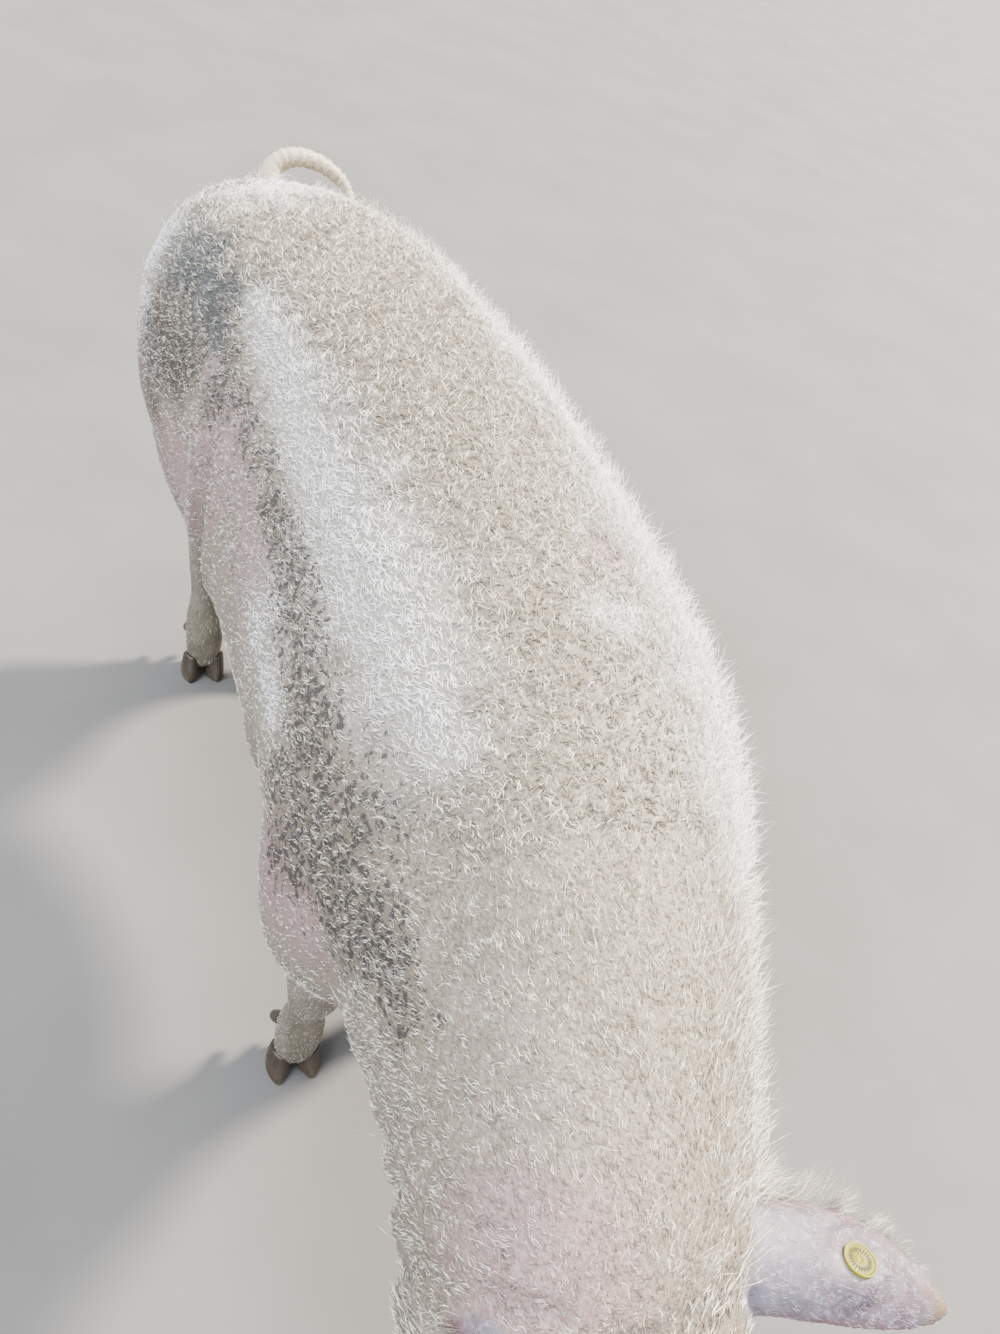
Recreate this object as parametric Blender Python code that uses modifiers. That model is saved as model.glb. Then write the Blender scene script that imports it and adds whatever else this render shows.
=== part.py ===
"""Domestic pig, a still life-size model that stands on the floor.

The pig faces -Y, its left side is +X and the floor is z = 0. The flesh is
modelled whole from lofted sections, blended, and then parted by thin cuts
into the pieces that a person would name. Hooves, eyes and the ear tag are
solids of their own.
"""
import math
import random

import bmesh
import bpy
from mathutils import Matrix, Vector
from mathutils.bvhtree import BVHTree

# Fits
GAP = 0.0003

# Fineness of the sections, of the two blends and of the flesh that is left
RING_POINTS = 28
BODY_VOXEL = 0.011
BODY_PASSES = 9
WHOLE_VOXEL = 0.0065
WHOLE_PASSES = 3
BODY_TRIANGLES = 3100
HEAD_TRIANGLES = 1800

# Trunk and neck, from the tail to the poll: distance along the body, sideways
# place, top, bottom and half width of each section
TRUNK = (
    (0.592, -0.102, 0.815, 0.640, 0.070),
    (0.567, -0.100, 0.866, 0.580, 0.134),
    (0.500, -0.094, 0.907, 0.515, 0.186),
    (0.400, -0.080, 0.934, 0.480, 0.220),
    (0.280, -0.058, 0.946, 0.458, 0.230),
    (0.130, -0.026, 0.952, 0.398, 0.236),
    (-0.050, 0.000, 0.947, 0.362, 0.242),
    (-0.230, 0.012, 0.932, 0.374, 0.247),
    (-0.400, 0.012, 0.917, 0.404, 0.237),
    (-0.540, 0.000, 0.895, 0.432, 0.210),
    (-0.660, -0.022, 0.868, 0.465, 0.176),
    (-0.770, -0.048, 0.840, 0.490, 0.152),
    (-0.860, -0.072, 0.810, 0.500, 0.138),
    (-0.920, -0.086, 0.770, 0.530, 0.110),
)
TRUNK_STEPS = 4
TRUNK_POWER = 0.86
TRUNK_MIDDLE = 0.52

# Legs, from inside the trunk to the coronet: height, distance along the body,
# sideways place, half length and half width of each level section. Along and
# sideways are measured from the middle of that leg's hooves.
FORE_LEG = (
    (0.800, 0.000, -0.050, 0.100, 0.070),
    (0.680, -0.030, -0.005, 0.140, 0.100),
    (0.560, -0.035, 0.015, 0.138, 0.102),
    (0.470, -0.020, 0.016, 0.112, 0.088),
    (0.400, 0.000, 0.010, 0.080, 0.064),
    (0.320, 0.006, 0.003, 0.055, 0.047),
    (0.255, 0.006, 0.001, 0.046, 0.043),
    (0.225, 0.006, 0.000, 0.043, 0.041),
    (0.165, 0.012, 0.000, 0.031, 0.030),
    (0.110, 0.014, 0.000, 0.036, 0.036),
    (0.070, 0.011, 0.000, 0.033, 0.037),
    (0.020, 0.007, 0.000, 0.024, 0.031),
)
HIND_LEG = (
    (0.850, 0.020, -0.040, 0.100, 0.050),
    (0.760, 0.030, 0.000, 0.160, 0.080),
    (0.660, 0.020, 0.020, 0.195, 0.096),
    (0.560, 0.010, 0.020, 0.180, 0.098),
    (0.480, 0.005, 0.012, 0.150, 0.088),
    (0.410, 0.018, 0.006, 0.108, 0.070),
    (0.345, 0.045, 0.002, 0.072, 0.050),
    (0.290, 0.066, 0.000, 0.058, 0.041),
    (0.240, 0.066, 0.000, 0.043, 0.036),
    (0.165, 0.050, 0.000, 0.032, 0.030),
    (0.110, 0.036, 0.000, 0.036, 0.036),
    (0.070, 0.018, 0.000, 0.033, 0.037),
    (0.020, 0.007, 0.000, 0.024, 0.031),
)
LEG_STEPS = 3
LEG_POWER = 0.95

# Middle of each foot's hooves on the floor: sideways, along
FEET = {
    "fore_right": (-0.122, -0.395),
    "fore_left": (0.142, -0.350),
    "hind_right": (-0.156, 0.390),
    "hind_left": (0.040, 0.352),
}

# Head, along the line of the muzzle from the poll to the snout: distance,
# rise above the line, drop below it, half width
HEAD_ROOT = Vector((-0.074, -0.822, 0.660))
HEAD_PITCH = math.radians(33.0)
HEAD_YAW = math.radians(7.0)
HEAD = (
    (-0.060, 0.110, 0.120, 0.105),
    (0.000, 0.136, 0.160, 0.130),
    (0.060, 0.134, 0.166, 0.132),
    (0.110, 0.116, 0.150, 0.118),
    (0.160, 0.087, 0.126, 0.100),
    (0.215, 0.064, 0.106, 0.083),
    (0.270, 0.054, 0.090, 0.070),
    (0.320, 0.050, 0.072, 0.060),
    (0.352, 0.048, 0.054, 0.054),
)
HEAD_STEPS = 4
HEAD_POWER = 0.92

# Snout disc: distance along the muzzle, rise of its middle, half sizes
SNOUT_AT = 0.370
SNOUT_RISE = 0.003
SNOUT_HALF_WIDTH = 0.057
SNOUT_HALF_HEIGHT = 0.046
SNOUT_DEPTH = 0.030
SNOUT_TILT = math.radians(10.0)
SNOUT_POWER = 0.9
SNOUT_PROFILE = ((-1.0, 0.74), (-0.62, 0.88), (-0.30, 1.0), (-0.10, 1.0), (0.0, 0.90))
NOSTRIL_APART = 0.020
NOSTRIL_WIDTH = 0.0088
NOSTRIL_HEIGHT = 0.0120
NOSTRIL_DEPTH = 0.020
NOSTRIL_PROFILE = ((0.3, 1.15), (0.0, 1.0), (-0.5, 0.8), (-1.0, 0.4))

# Soft masses of the head: distance, sideways, rise, and half sizes
HEAD_MASSES = (
    ("jowl", 0.060, 0.058, -0.070, 0.095, 0.060, 0.078),
    ("cheek", 0.125, 0.070, -0.010, 0.060, 0.036, 0.048),
    ("brow", 0.120, 0.070, 0.068, 0.040, 0.022, 0.018),
    ("ear_base", 0.012, 0.080, 0.092, 0.040, 0.034, 0.030),
    ("chin", 0.290, 0.018, -0.052, 0.052, 0.026, 0.018),
)

# Eyes: where a line from the side meets the head, size and depth
EYE_AT = (0.146, 0.046)
EYE_RADIUS = 0.0145
EYE_SUNK = 0.0088
EYE_AHEAD = 0.05
LID_HALF_WIDTH = 0.0150
LID_HALF_HEIGHT = 0.0092
LID_RADIUS = 0.0042
LID_SLANT = math.radians(-14.0)
LID_COUNT = 16
LID_SIDES = 6
LID_LIFT = 0.0006
LID_UPPER = 0.25

# Line of the mouth on each side: distance along the muzzle and rise
MOUTH_LINE = (
    (0.196, -0.038),
    (0.225, -0.053),
    (0.260, -0.060),
    (0.300, -0.055),
    (0.334, -0.046),
)
MOUTH_FRONT = -0.046
MOUTH_STEPS = 2
MOUTH_RADIUS = 0.0028
MOUTH_SIDES = 5
MUZZLE_MIDDLE = (0.27, 0.0, -0.02)
LIP_RADIUS = 0.0060
LIP_APART = 0.0058
LIP_SUNK = 0.0030
LIP_SIDES = 6
LIP_THINNEST = 0.45

# Ears: root on the head, reach from root to tip, the back's facing, and the
# droop, half width and thickness. The leaf's outline runs from its start at
# the root, and the cupping opens from the root to its open share
EAR_ROOT = (0.020, 0.080, 0.108)
EAR_REACH = (0.180, 0.098, -0.022)
EAR_FACING = (-0.08, 0.34, 0.91)
EAR_DROOP = 0.017
EAR_HALF_WIDTH = 0.042
EAR_THICK = 0.0065
EAR_LEAF_START = 0.20
EAR_LEAF_POWER = 0.50
EAR_TIP_WIDTH = 0.10
EAR_CUP_ROOT = math.radians(104.0)
EAR_CUP_OPEN = math.radians(42.0)
EAR_OPEN_AT = 0.60
EAR_TIP_CURL = math.radians(26.0)
EAR_TIP_AT = 0.75
EAR_BOW = 0.010
EAR_SUNK = 0.10
EAR_ROWS = 11
EAR_COLUMNS = 7

# Ear tag: place along and across the left ear, and its sizes
TAG_AT = (0.55, 0.19)
TAG_RADIUS = 0.0135
TAG_THICK = 0.0030
TAG_SEAT = 0.0012
TAG_PROFILE = ((0.0, 1.0), (0.85, 1.0), (1.0, 0.88), (0.8, 0.76))

# Tail: middle line and radius, curled over once
TAIL = (
    (-0.080, 0.560, 0.830, 0.0240),
    (-0.094, 0.600, 0.846, 0.0180),
    (-0.092, 0.622, 0.872, 0.0145),
    (-0.060, 0.630, 0.890, 0.0125),
    (-0.018, 0.630, 0.886, 0.0105),
    (0.018, 0.624, 0.866, 0.0085),
    (0.034, 0.614, 0.836, 0.0065),
    (0.030, 0.606, 0.800, 0.0040),
)
TAIL_STEPS = 2
TAIL_POINTS = 8

# Spare flesh left past a cut until it is trimmed, and the trimming block
CUT_SPARE = 0.03
BLOCK = 1.6

# Thin cuts, and the least size of a piece that they part
LEAST_SHELL = 0.05
KNEE_HEIGHT = 0.238
ELBOW_HEIGHT = 0.366
HOCK_HEIGHT = 0.330
STIFLE_HEIGHT = 0.400
LEG_CUT_WIDTH = 0.20
LEG_CUT_MIDDLE = {"fore": 0.0, "hind": 0.025}
LEG_CUT_LENGTH = {"fore": 0.23, "hind": 0.30}
NECK_CUT_SIDE = 0.9
NECK_BACK = (Vector((-0.020, -0.600, 0.66)), math.radians(-8.0))
NECK_FRONT = (Vector((-0.060, -0.790, 0.66)), math.radians(9.0))

# Claws: sole length and half width, height, how far apart they stand, and
# stages of height, length, width and shift back
CLAW_LENGTH = 0.066
CLAW_HALF_WIDTH = 0.0185
CLAW_HEIGHT = 0.050
CLAW_APART = 0.0215
CLAW_SPLAY = math.radians(7.0)
CLAW_POINTS = 10
CLAW_POINTED = 0.30
CLAW_PROFILE = ((0.0, 1.0, 1.0, 0.0), (0.40, 0.95, 1.0, 0.03), (1.0, 0.84, 0.92, 0.09))

# Dew claws: thickest radius, start and run down and back, how far apart, and
# stages of share along the run and of the radius
DEW_RADIUS = 0.0105
DEW_START = Vector((0.0, 0.024, 0.090))
DEW_RUN = Vector((0.0, 0.022, -0.030))
DEW_APART = 0.022
DEW_SPREAD = 0.25
DEW_BACK = {"fore": 0.008, "hind": 0.016}
DEW_PROFILE = ((-0.35, 0.90), (0.20, 1.0), (0.75, 0.82), (1.0, 0.40))
DEW_SIDES = 7

# Coat: locks in staggered rows, from the poll to the rump and down the flanks
COAT_NODES = ("head", "neck", "torso")
COAT_SEED = 7
COAT_FIRST = -0.854
COAT_LAST = 0.545
COAT_ROW = 0.094
COAT_APART = 0.091
COAT_NEAREST = 0.048
COAT_LOWEST = math.radians(120.0)
COAT_FALL = 0.30
RUMP_TOP = 0.850
RUMP_FOOT = 0.440
RUMP_HALF_COUNT = 4
RUMP_FACING = 0.62
TAIL_CLEAR = 0.070

# One lock: length, width, thickness, sway of its tip, how deep its root is
# sunk and how high its tip stands off the skin. Its stages give the share of
# the length, of the width, and of the sunk depth (below 0) or the height
LOCK_LENGTH = 0.124
LOCK_WIDTH = 0.062
LOCK_THICK = 0.0060
LOCK_SWAY = 0.24
LOCK_SUNK = 0.009
LOCK_HEIGHT = 0.018
LOCK_STAGES = (
    (-0.10, 0.00, -1.00),
    (0.30, 1.00, 0.20),
    (0.66, 0.70, 0.58),
    (1.00, 0.00, 1.00),
)
LOCK_FOOTING = (-0.12, 0.10, 0.32)
LOCK_SHIFTS = (0.0, -0.025, 0.025, -0.045, 0.045)
LOCK_CLEAR = 0.0008

COLOURS = {
    "hide": ("#d9c3b4", 0.80),
    "bare_skin": ("#c9a0a0", 0.65),
    "horn": ("#8a7352", 0.55),
    "eye": ("#3a2a20", 0.15),
    "tag": ("#e3dc3c", 0.45),
}
PAINTS = {"claw": "horn", "dew": "horn", "eye": "eye", "tag": "tag", "ear": "bare_skin"}


def rgba(hex_text):
    """Turn an sRGB hex colour into the linear colour that a shader takes."""
    channels = [int(hex_text[i:i + 2], 16) / 255 for i in (1, 3, 5)]
    linear = [c / 12.92 if c <= 0.04045 else ((c + 0.055) / 1.055) ** 2.4 for c in channels]
    return (*linear, 1.0)


def start_scene():
    """Empty the scene and make the two collections."""
    for obj in list(bpy.data.objects):
        bpy.data.objects.remove(obj, do_unlink=True)
    for name in ("domestic_pig", "cutters"):
        collection = bpy.data.collections.new(name)
        bpy.context.scene.collection.children.link(collection)


def add_object(name, mesh, collection="domestic_pig"):
    """Put a mesh in the scene as an object."""
    obj = bpy.data.objects.new(name, mesh)
    bpy.data.collections[collection].objects.link(obj)
    return obj


def catmull(rows, steps):
    """Fill in smooth rows between the given ones."""
    filled = []
    last = len(rows) - 1
    for i in range(last):
        before, start, end, after = rows[max(i - 1, 0)], rows[i], rows[i + 1], rows[min(i + 2, last)]
        for step in range(steps):
            t = step / steps
            filled.append([
                0.5 * (2 * b + (c - a) * t + (2 * a - 5 * b + 4 * c - d) * t * t
                       + (3 * b - a - 3 * c + d) * t ** 3)
                for a, b, c, d in zip(before, start, end, after)])
    filled.append(list(rows[last]))
    return filled


def ring(centre, side, up, half_width, rise, drop, power):
    """Points of one closed section, fuller than an ellipse where power is below 1."""
    points = []
    for k in range(RING_POINTS):
        angle = 2 * math.pi * k / RING_POINTS
        across = math.copysign(abs(math.cos(angle)) ** power, math.cos(angle))
        along = math.copysign(abs(math.sin(angle)) ** power, math.sin(angle))
        height = rise if along > 0 else drop
        points.append(centre + side * (half_width * across) + up * (height * along))
    return points


def loft(rings):
    """Skin a row of rings and close both ends."""
    bm = bmesh.new()
    loops = [[bm.verts.new(p) for p in points] for points in rings]
    for lower, upper in zip(loops, loops[1:]):
        count = len(lower)
        for k in range(count):
            n = (k + 1) % count
            bm.faces.new((lower[k], lower[n], upper[n], upper[k]))
    bm.faces.new(loops[0][::-1])
    bm.faces.new(loops[-1])
    bmesh.ops.recalc_face_normals(bm, faces=bm.faces)
    mesh = bpy.data.meshes.new("loft")
    bm.to_mesh(mesh)
    bm.free()
    return mesh


def trunk_mesh():
    """Trunk and neck, lofted through upright sections."""
    rings = []
    for along, sideways, top, bottom, half_width in catmull(TRUNK, TRUNK_STEPS):
        middle = bottom + TRUNK_MIDDLE * (top - bottom)
        centre = Vector((sideways, along, middle))
        rings.append(ring(centre, Vector((1, 0, 0)), Vector((0, 0, 1)), half_width,
                          top - middle, middle - bottom, TRUNK_POWER))
    return loft(rings)


def leg_mesh(stations, foot, sign):
    """One leg, lofted through level sections."""
    rings = []
    for height, along, sideways, half_length, half_width in catmull(stations, LEG_STEPS):
        centre = Vector((foot[0] + sign * sideways, foot[1] + along, height))
        rings.append(ring(centre, Vector((1, 0, 0)), Vector((0, 1, 0)), half_width,
                          half_length, half_length, LEG_POWER))
    return loft(rings)


def head_frame():
    """Forward, side and up directions of the head."""
    forward = Vector((math.sin(HEAD_YAW) * math.cos(HEAD_PITCH),
                      -math.cos(HEAD_YAW) * math.cos(HEAD_PITCH), -math.sin(HEAD_PITCH)))
    side = forward.cross(Vector((0, 0, 1))).normalized() * -1
    up = side.cross(forward) * -1
    return forward, side, up


def head_mesh():
    """Skull, cheeks and muzzle, lofted along the line of the muzzle."""
    forward, side, up = head_frame()
    rings = []
    for distance, rise, drop, half_width in catmull(HEAD, HEAD_STEPS):
        centre = HEAD_ROOT + forward * distance
        rings.append(ring(centre, side, up, half_width, rise, drop, HEAD_POWER))
    return loft(rings)


def ellipsoid(centre, axes, sizes):
    """A closed ellipsoid along three directions."""
    bm = bmesh.new()
    bmesh.ops.create_uvsphere(bm, u_segments=14, v_segments=8, radius=1.0)
    turn = Matrix((axes[0] * sizes[0], axes[1] * sizes[1], axes[2] * sizes[2])).transposed().to_4x4()
    turn.translation = centre
    bmesh.ops.transform(bm, matrix=turn, verts=bm.verts)
    bmesh.ops.recalc_face_normals(bm, faces=bm.faces)
    mesh = bpy.data.meshes.new("ellipsoid")
    bm.to_mesh(mesh)
    bm.free()
    return mesh


def joined(meshes):
    """Gather meshes into one, still as separate shells."""
    bm = bmesh.new()
    for mesh in meshes:
        bm.from_mesh(mesh)
        bpy.data.meshes.remove(mesh)
    mesh = bpy.data.meshes.new("joined")
    bm.to_mesh(mesh)
    bm.free()
    return mesh


def settle(obj):
    """Apply an object's modifiers."""
    graph = bpy.context.evaluated_depsgraph_get()
    mesh = bpy.data.meshes.new_from_object(obj.evaluated_get(graph))
    obj.modifiers.clear()
    obj.data = mesh
    return obj


def blend(obj, voxel, passes):
    """Melt overlapping shells into one smooth skin."""
    remesh = obj.modifiers.new("melt", "REMESH")
    remesh.mode = "VOXEL"
    remesh.voxel_size = voxel
    smooth = obj.modifiers.new("smooth", "SMOOTH")
    smooth.factor = 0.5
    smooth.iterations = passes
    return settle(obj)


def thin_out(obj, triangles):
    """Leave about this many triangles."""
    count = sum(len(face.vertices) - 2 for face in obj.data.polygons)
    fewer = obj.modifiers.new("fewer", "DECIMATE")
    fewer.ratio = min(1.0, triangles / count)
    return settle(obj)


def keep_largest(obj):
    """Drop every loose scrap and leave the largest closed surface."""
    bm = bmesh.new()
    bm.from_mesh(obj.data)
    bmesh.ops.remove_doubles(bm, verts=bm.verts, dist=0.00002)
    bmesh.ops.dissolve_degenerate(bm, edges=bm.edges, dist=0.00002)
    bmesh.ops.triangulate(bm, faces=bm.faces)
    shells = loose_shells(bm)
    largest = max(shells, key=shell_span)
    scraps = [face for shell in shells if shell is not largest for face in shell]
    bmesh.ops.delete(bm, geom=scraps, context="FACES")
    bm.to_mesh(obj.data)
    bm.free()
    return obj


def loose_shells(bm):
    """Lists of faces that hang together."""
    shells, seen = [], set()
    for seed in bm.faces:
        if seed in seen:
            continue
        seen.add(seed)
        shell, front = [], [seed]
        while front:
            face = front.pop()
            shell.append(face)
            for edge in face.edges:
                for other in edge.link_faces:
                    if other not in seen:
                        seen.add(other)
                        front.append(other)
        shells.append(shell)
    return shells


def shell_span(shell):
    """Diagonal of a shell's box."""
    points = [vert.co for face in shell for vert in face.verts]
    low = Vector((min(p.x for p in points), min(p.y for p in points), min(p.z for p in points)))
    high = Vector((max(p.x for p in points), max(p.y for p in points), max(p.z for p in points)))
    return (high - low).length


def combine(obj, tools, operation, solver="EXACT"):
    """Union or cut with a row of closed objects, which are then removed."""
    group = bpy.data.collections.new("tools")
    bpy.data.collections["cutters"].children.link(group)
    for tool in tools:
        for owner in tool.users_collection:
            owner.objects.unlink(tool)
        group.objects.link(tool)
    step = obj.modifiers.new("combine", "BOOLEAN")
    step.operation = operation
    step.solver = solver
    step.operand_type = "COLLECTION"
    step.collection = group
    settle(obj)
    for tool in tools:
        bpy.data.objects.remove(tool, do_unlink=True)
    bpy.data.collections.remove(group)
    return keep_largest(obj)


def grown_copy(obj, by):
    """A copy of a piece, grown all over, to cut what meets it."""
    bm = bmesh.new()
    bm.from_mesh(obj.data)
    bm.normal_update()
    moves = [vert.normal * by for vert in bm.verts]
    for vert, move in zip(bm.verts, moves):
        vert.co += move
    mesh = bpy.data.meshes.new("grown")
    bm.to_mesh(mesh)
    bm.free()
    return cutter("grown_" + obj.name, mesh)


def cutter(name, mesh):
    """An object that only cuts."""
    obj = add_object(name, mesh, "cutters")
    obj.hide_render = True
    obj.display_type = "WIRE"
    return obj


def slab(name, centre, size, tilt=0.0):
    """A thin cutting box, turned about the sideways axis."""
    bm = bmesh.new()
    bmesh.ops.create_cube(bm, size=1.0)
    place = Matrix.Translation(centre) @ Matrix.Rotation(tilt, 4, "X") @ Matrix.Diagonal((*size, 1.0))
    bmesh.ops.transform(bm, matrix=place, verts=bm.verts)
    mesh = bpy.data.meshes.new(name)
    bm.to_mesh(mesh)
    bm.free()
    return cutter(name, mesh)


def head_point(distance, sideways, rise):
    """A point given in the head's own directions."""
    forward, side, up = head_frame()
    return HEAD_ROOT + forward * distance + side * sideways + up * rise


def swept_tube(points, radii, sides=8):
    """A closed tube along points, round and with its own radius at each."""
    rings = []
    for i, point in enumerate(points):
        ahead = points[min(i + 1, len(points) - 1)] - points[max(i - 1, 0)]
        across = ahead.cross(Vector((0.03, 0.02, 1))).normalized()
        over = across.cross(ahead).normalized()
        rings.append([point + (across * math.cos(a) + over * math.sin(a)) * radii[i]
                      for a in (2 * math.pi * k / sides for k in range(sides))])
    return loft(rings)


def flesh():
    """The whole animal's flesh but for ears and tail."""
    legs = []
    for name, foot in FEET.items():
        stations = FORE_LEG if name.startswith("fore") else HIND_LEG
        legs.append(leg_mesh(stations, foot, 1 if name.endswith("left") else -1))
    body = blend(add_object("body", joined([trunk_mesh(), *legs])), BODY_VOXEL, BODY_PASSES)
    forward, side, up = head_frame()
    masses = [head_mesh()]
    for _, distance, sideways, rise, length, width, height in HEAD_MASSES:
        for sign in (-1, 1):
            masses.append(ellipsoid(head_point(distance, sign * sideways, rise), (forward, side, up),
                                    (length, width, height)))
    whole = add_object("whole", joined([body.data.copy(), *masses]))
    bpy.data.objects.remove(body, do_unlink=True)
    return blend(whole, WHOLE_VOXEL, WHOLE_PASSES)


def half_of(whole, name, sign, triangles):
    """The flesh before (1) or behind (-1) the cut between head and neck."""
    at, tilt = NECK_FRONT
    ahead = Vector((0, -math.cos(tilt), -math.sin(tilt)))
    bm = bmesh.new()
    bm.from_mesh(whole.data)
    everything = list(bm.verts) + list(bm.edges) + list(bm.faces)
    bmesh.ops.bisect_plane(bm, geom=everything, plane_co=at - ahead * (sign * CUT_SPARE),
                           plane_no=ahead * sign, clear_inner=True)
    bmesh.ops.holes_fill(bm, edges=[edge for edge in bm.edges if edge.is_boundary])
    bmesh.ops.triangulate(bm, faces=bm.faces)
    bmesh.ops.recalc_face_normals(bm, faces=bm.faces)
    mesh = bpy.data.meshes.new(name)
    bm.to_mesh(mesh)
    bm.free()
    half = thin_out(add_object(name, mesh), triangles)
    block = slab("block", at - ahead * (sign * (BLOCK / 2 - GAP / 2)), (BLOCK, BLOCK, BLOCK), tilt)
    return combine(half, [block], "DIFFERENCE")


def part_flesh(whole):
    """Part the flesh with thin cuts and name what comes loose."""
    cuts = [slab("cut_neck_back", NECK_BACK[0], (NECK_CUT_SIDE, GAP, NECK_CUT_SIDE), NECK_BACK[1])]
    seeds = {"torso": Vector((0, 0, NECK_BACK[0].z)), "neck": NECK_FRONT[0]}
    for name, (x, y) in FEET.items():
        fore = name.startswith("fore")
        heights = (ELBOW_HEIGHT, KNEE_HEIGHT) if fore else (STIFLE_HEIGHT, HOCK_HEIGHT)
        middle = y + LEG_CUT_MIDDLE[name[:4]]
        size = (LEG_CUT_WIDTH, LEG_CUT_LENGTH[name[:4]], GAP)
        for height in heights:
            cuts.append(slab("cut_" + name, Vector((x, middle, height)), size))
        seeds["leg_upper_" + name] = Vector((x, middle, sum(heights) / 2))
        seeds["leg_lower_" + name] = Vector((x, middle, heights[1] / 2))
    group = bpy.data.collections.new("cuts")
    bpy.data.collections["cutters"].children.link(group)
    for cut in cuts:
        bpy.data.collections["cutters"].objects.unlink(cut)
        group.objects.link(cut)
    step = whole.modifiers.new("cut", "BOOLEAN")
    step.operation = "DIFFERENCE"
    step.operand_type = "COLLECTION"
    step.collection = group
    settle(whole)
    bm = bmesh.new()
    bm.from_mesh(whole.data)
    bmesh.ops.remove_doubles(bm, verts=bm.verts, dist=0.00002)
    bmesh.ops.triangulate(bm, faces=bm.faces)
    bm.to_mesh(whole.data)
    bm.faces.index_update()
    nodes = {}
    for shell in loose_shells(bm):
        points = [vert.co for face in shell for vert in face.verts]
        low = Vector([min(p[i] for p in points) for i in range(3)])
        high = Vector([max(p[i] for p in points) for i in range(3)])
        if (high - low).length < LEAST_SHELL:
            continue
        name = min(seeds, key=lambda key: (seeds[key] - (low + high) / 2).length)
        nodes[name] = add_object(name, shell_mesh(whole.data, {face.index for face in shell}))
    bm.free()
    bpy.data.objects.remove(whole, do_unlink=True)
    for cut in cuts:
        bpy.data.objects.remove(cut, do_unlink=True)
    bpy.data.collections.remove(group)
    return nodes


def shell_mesh(mesh, shell):
    """A mesh of the faces with these numbers."""
    bm = bmesh.new()
    bm.from_mesh(mesh)
    bmesh.ops.delete(bm, geom=[face for face in bm.faces if face.index not in shell], context="FACES")
    part = bpy.data.meshes.new("shell")
    bm.to_mesh(part)
    bm.free()
    return part


def surface_hit(tree, start, towards):
    """Where a straight line first meets the surface, and its facing there."""
    place, facing, _, _ = tree.ray_cast(start, (towards - start).normalized())
    return place, facing


def mouth_paths(tree):
    """Points along the mouth line on the head's surface, from corner to corner."""
    sides = {}
    for sign in (-1, 1):
        sides[sign] = []
        for distance, rise in MOUTH_LINE:
            inside = head_point(distance, 0, rise)
            place, _ = surface_hit(tree, head_point(distance, sign * 0.3, rise), inside)
            sides[sign].append(place)
    front, _ = surface_hit(tree, head_point(0.6, 0, MOUTH_FRONT), head_point(0.2, 0, MOUTH_FRONT))
    return sides[-1] + [front] + sides[1][::-1]


def smooth_path(points, steps):
    """A smooth row of points through the given ones."""
    return [Vector(row) for row in catmull([tuple(point) for point in points], steps)]


def shape_head(head):
    """Add snout, lips and lids, then cut mouth, nostrils and eye sockets."""
    forward, side, up = head_frame()
    tree = BVHTree.FromObject(head, bpy.context.evaluated_depsgraph_get())
    mouth = smooth_path(mouth_paths(tree), MOUTH_STEPS)
    middle = head_point(*MUZZLE_MIDDLE)
    additions = []
    for rise in (-LIP_APART, LIP_APART):
        points = [point + up * rise + (middle - point).normalized() * LIP_SUNK for point in mouth]
        fullness = [math.sin(math.pi * i / (len(points) - 1)) ** 0.5 for i in range(len(points))]
        taper = [LIP_RADIUS * (LIP_THINNEST + (1 - LIP_THINNEST) * full) for full in fullness]
        additions.append(add_object("lip", swept_tube(points, taper, LIP_SIDES)))
    additions.append(add_object("snout", snout_mesh()))
    eyes = {}
    for name, sign in (("eye_right", -1), ("eye_left", 1)):
        inside = head_point(EYE_AT[0], 0, EYE_AT[1])
        place, facing = surface_hit(tree, head_point(EYE_AT[0] + EYE_AHEAD, sign * 0.3, EYE_AT[1]), inside)
        centre = place - facing * EYE_SUNK
        eyes[name] = add_object(name, ellipsoid(centre, (forward, side, up), (EYE_RADIUS,) * 3))
        additions.append(add_object("lids", lid_mesh(centre, facing, sign)))
    for piece in additions:
        combine(head, [piece], "UNION")
    cuts = [cutter("mouth", swept_tube(mouth, [MOUTH_RADIUS] * len(mouth), MOUTH_SIDES))]
    face = snout_frame()
    for sign in (-1, 1):
        cuts.append(cutter("nostril", nostril_mesh(face, sign)))
    cuts += [grown_copy(eye, GAP) for eye in eyes.values()]
    for cut in cuts:
        combine(head, [cut], "DIFFERENCE")
    return eyes


def snout_frame():
    """Middle and directions of the snout disc, whose face leans back a little."""
    forward, side, up = head_frame()
    out = (forward * math.cos(SNOUT_TILT) + up * math.sin(SNOUT_TILT)).normalized()
    return head_point(SNOUT_AT, 0, SNOUT_RISE), out, side, side.cross(out) * -1


def snout_mesh():
    """The disc of the snout with a rounded rim."""
    centre, out, side, up = snout_frame()
    rings = []
    for depth, size in SNOUT_PROFILE:
        rings.append(ring(centre + out * (SNOUT_DEPTH * depth), side, up, SNOUT_HALF_WIDTH * size,
                          SNOUT_HALF_HEIGHT * size, SNOUT_HALF_HEIGHT * size, SNOUT_POWER))
    return loft(rings)


def nostril_mesh(face, sign):
    """A tapered hole that runs back and slightly outwards."""
    centre, out, side, up = face
    mouth_of_hole = centre + side * (sign * NOSTRIL_APART)
    rings = []
    for depth, size in NOSTRIL_PROFILE:
        middle = mouth_of_hole + out * (NOSTRIL_DEPTH * depth)
        rings.append(ring(middle, side, up, NOSTRIL_WIDTH * size, NOSTRIL_HEIGHT * size,
                          NOSTRIL_HEIGHT * size, 1.0)[::2])
    return loft(rings)


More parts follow.
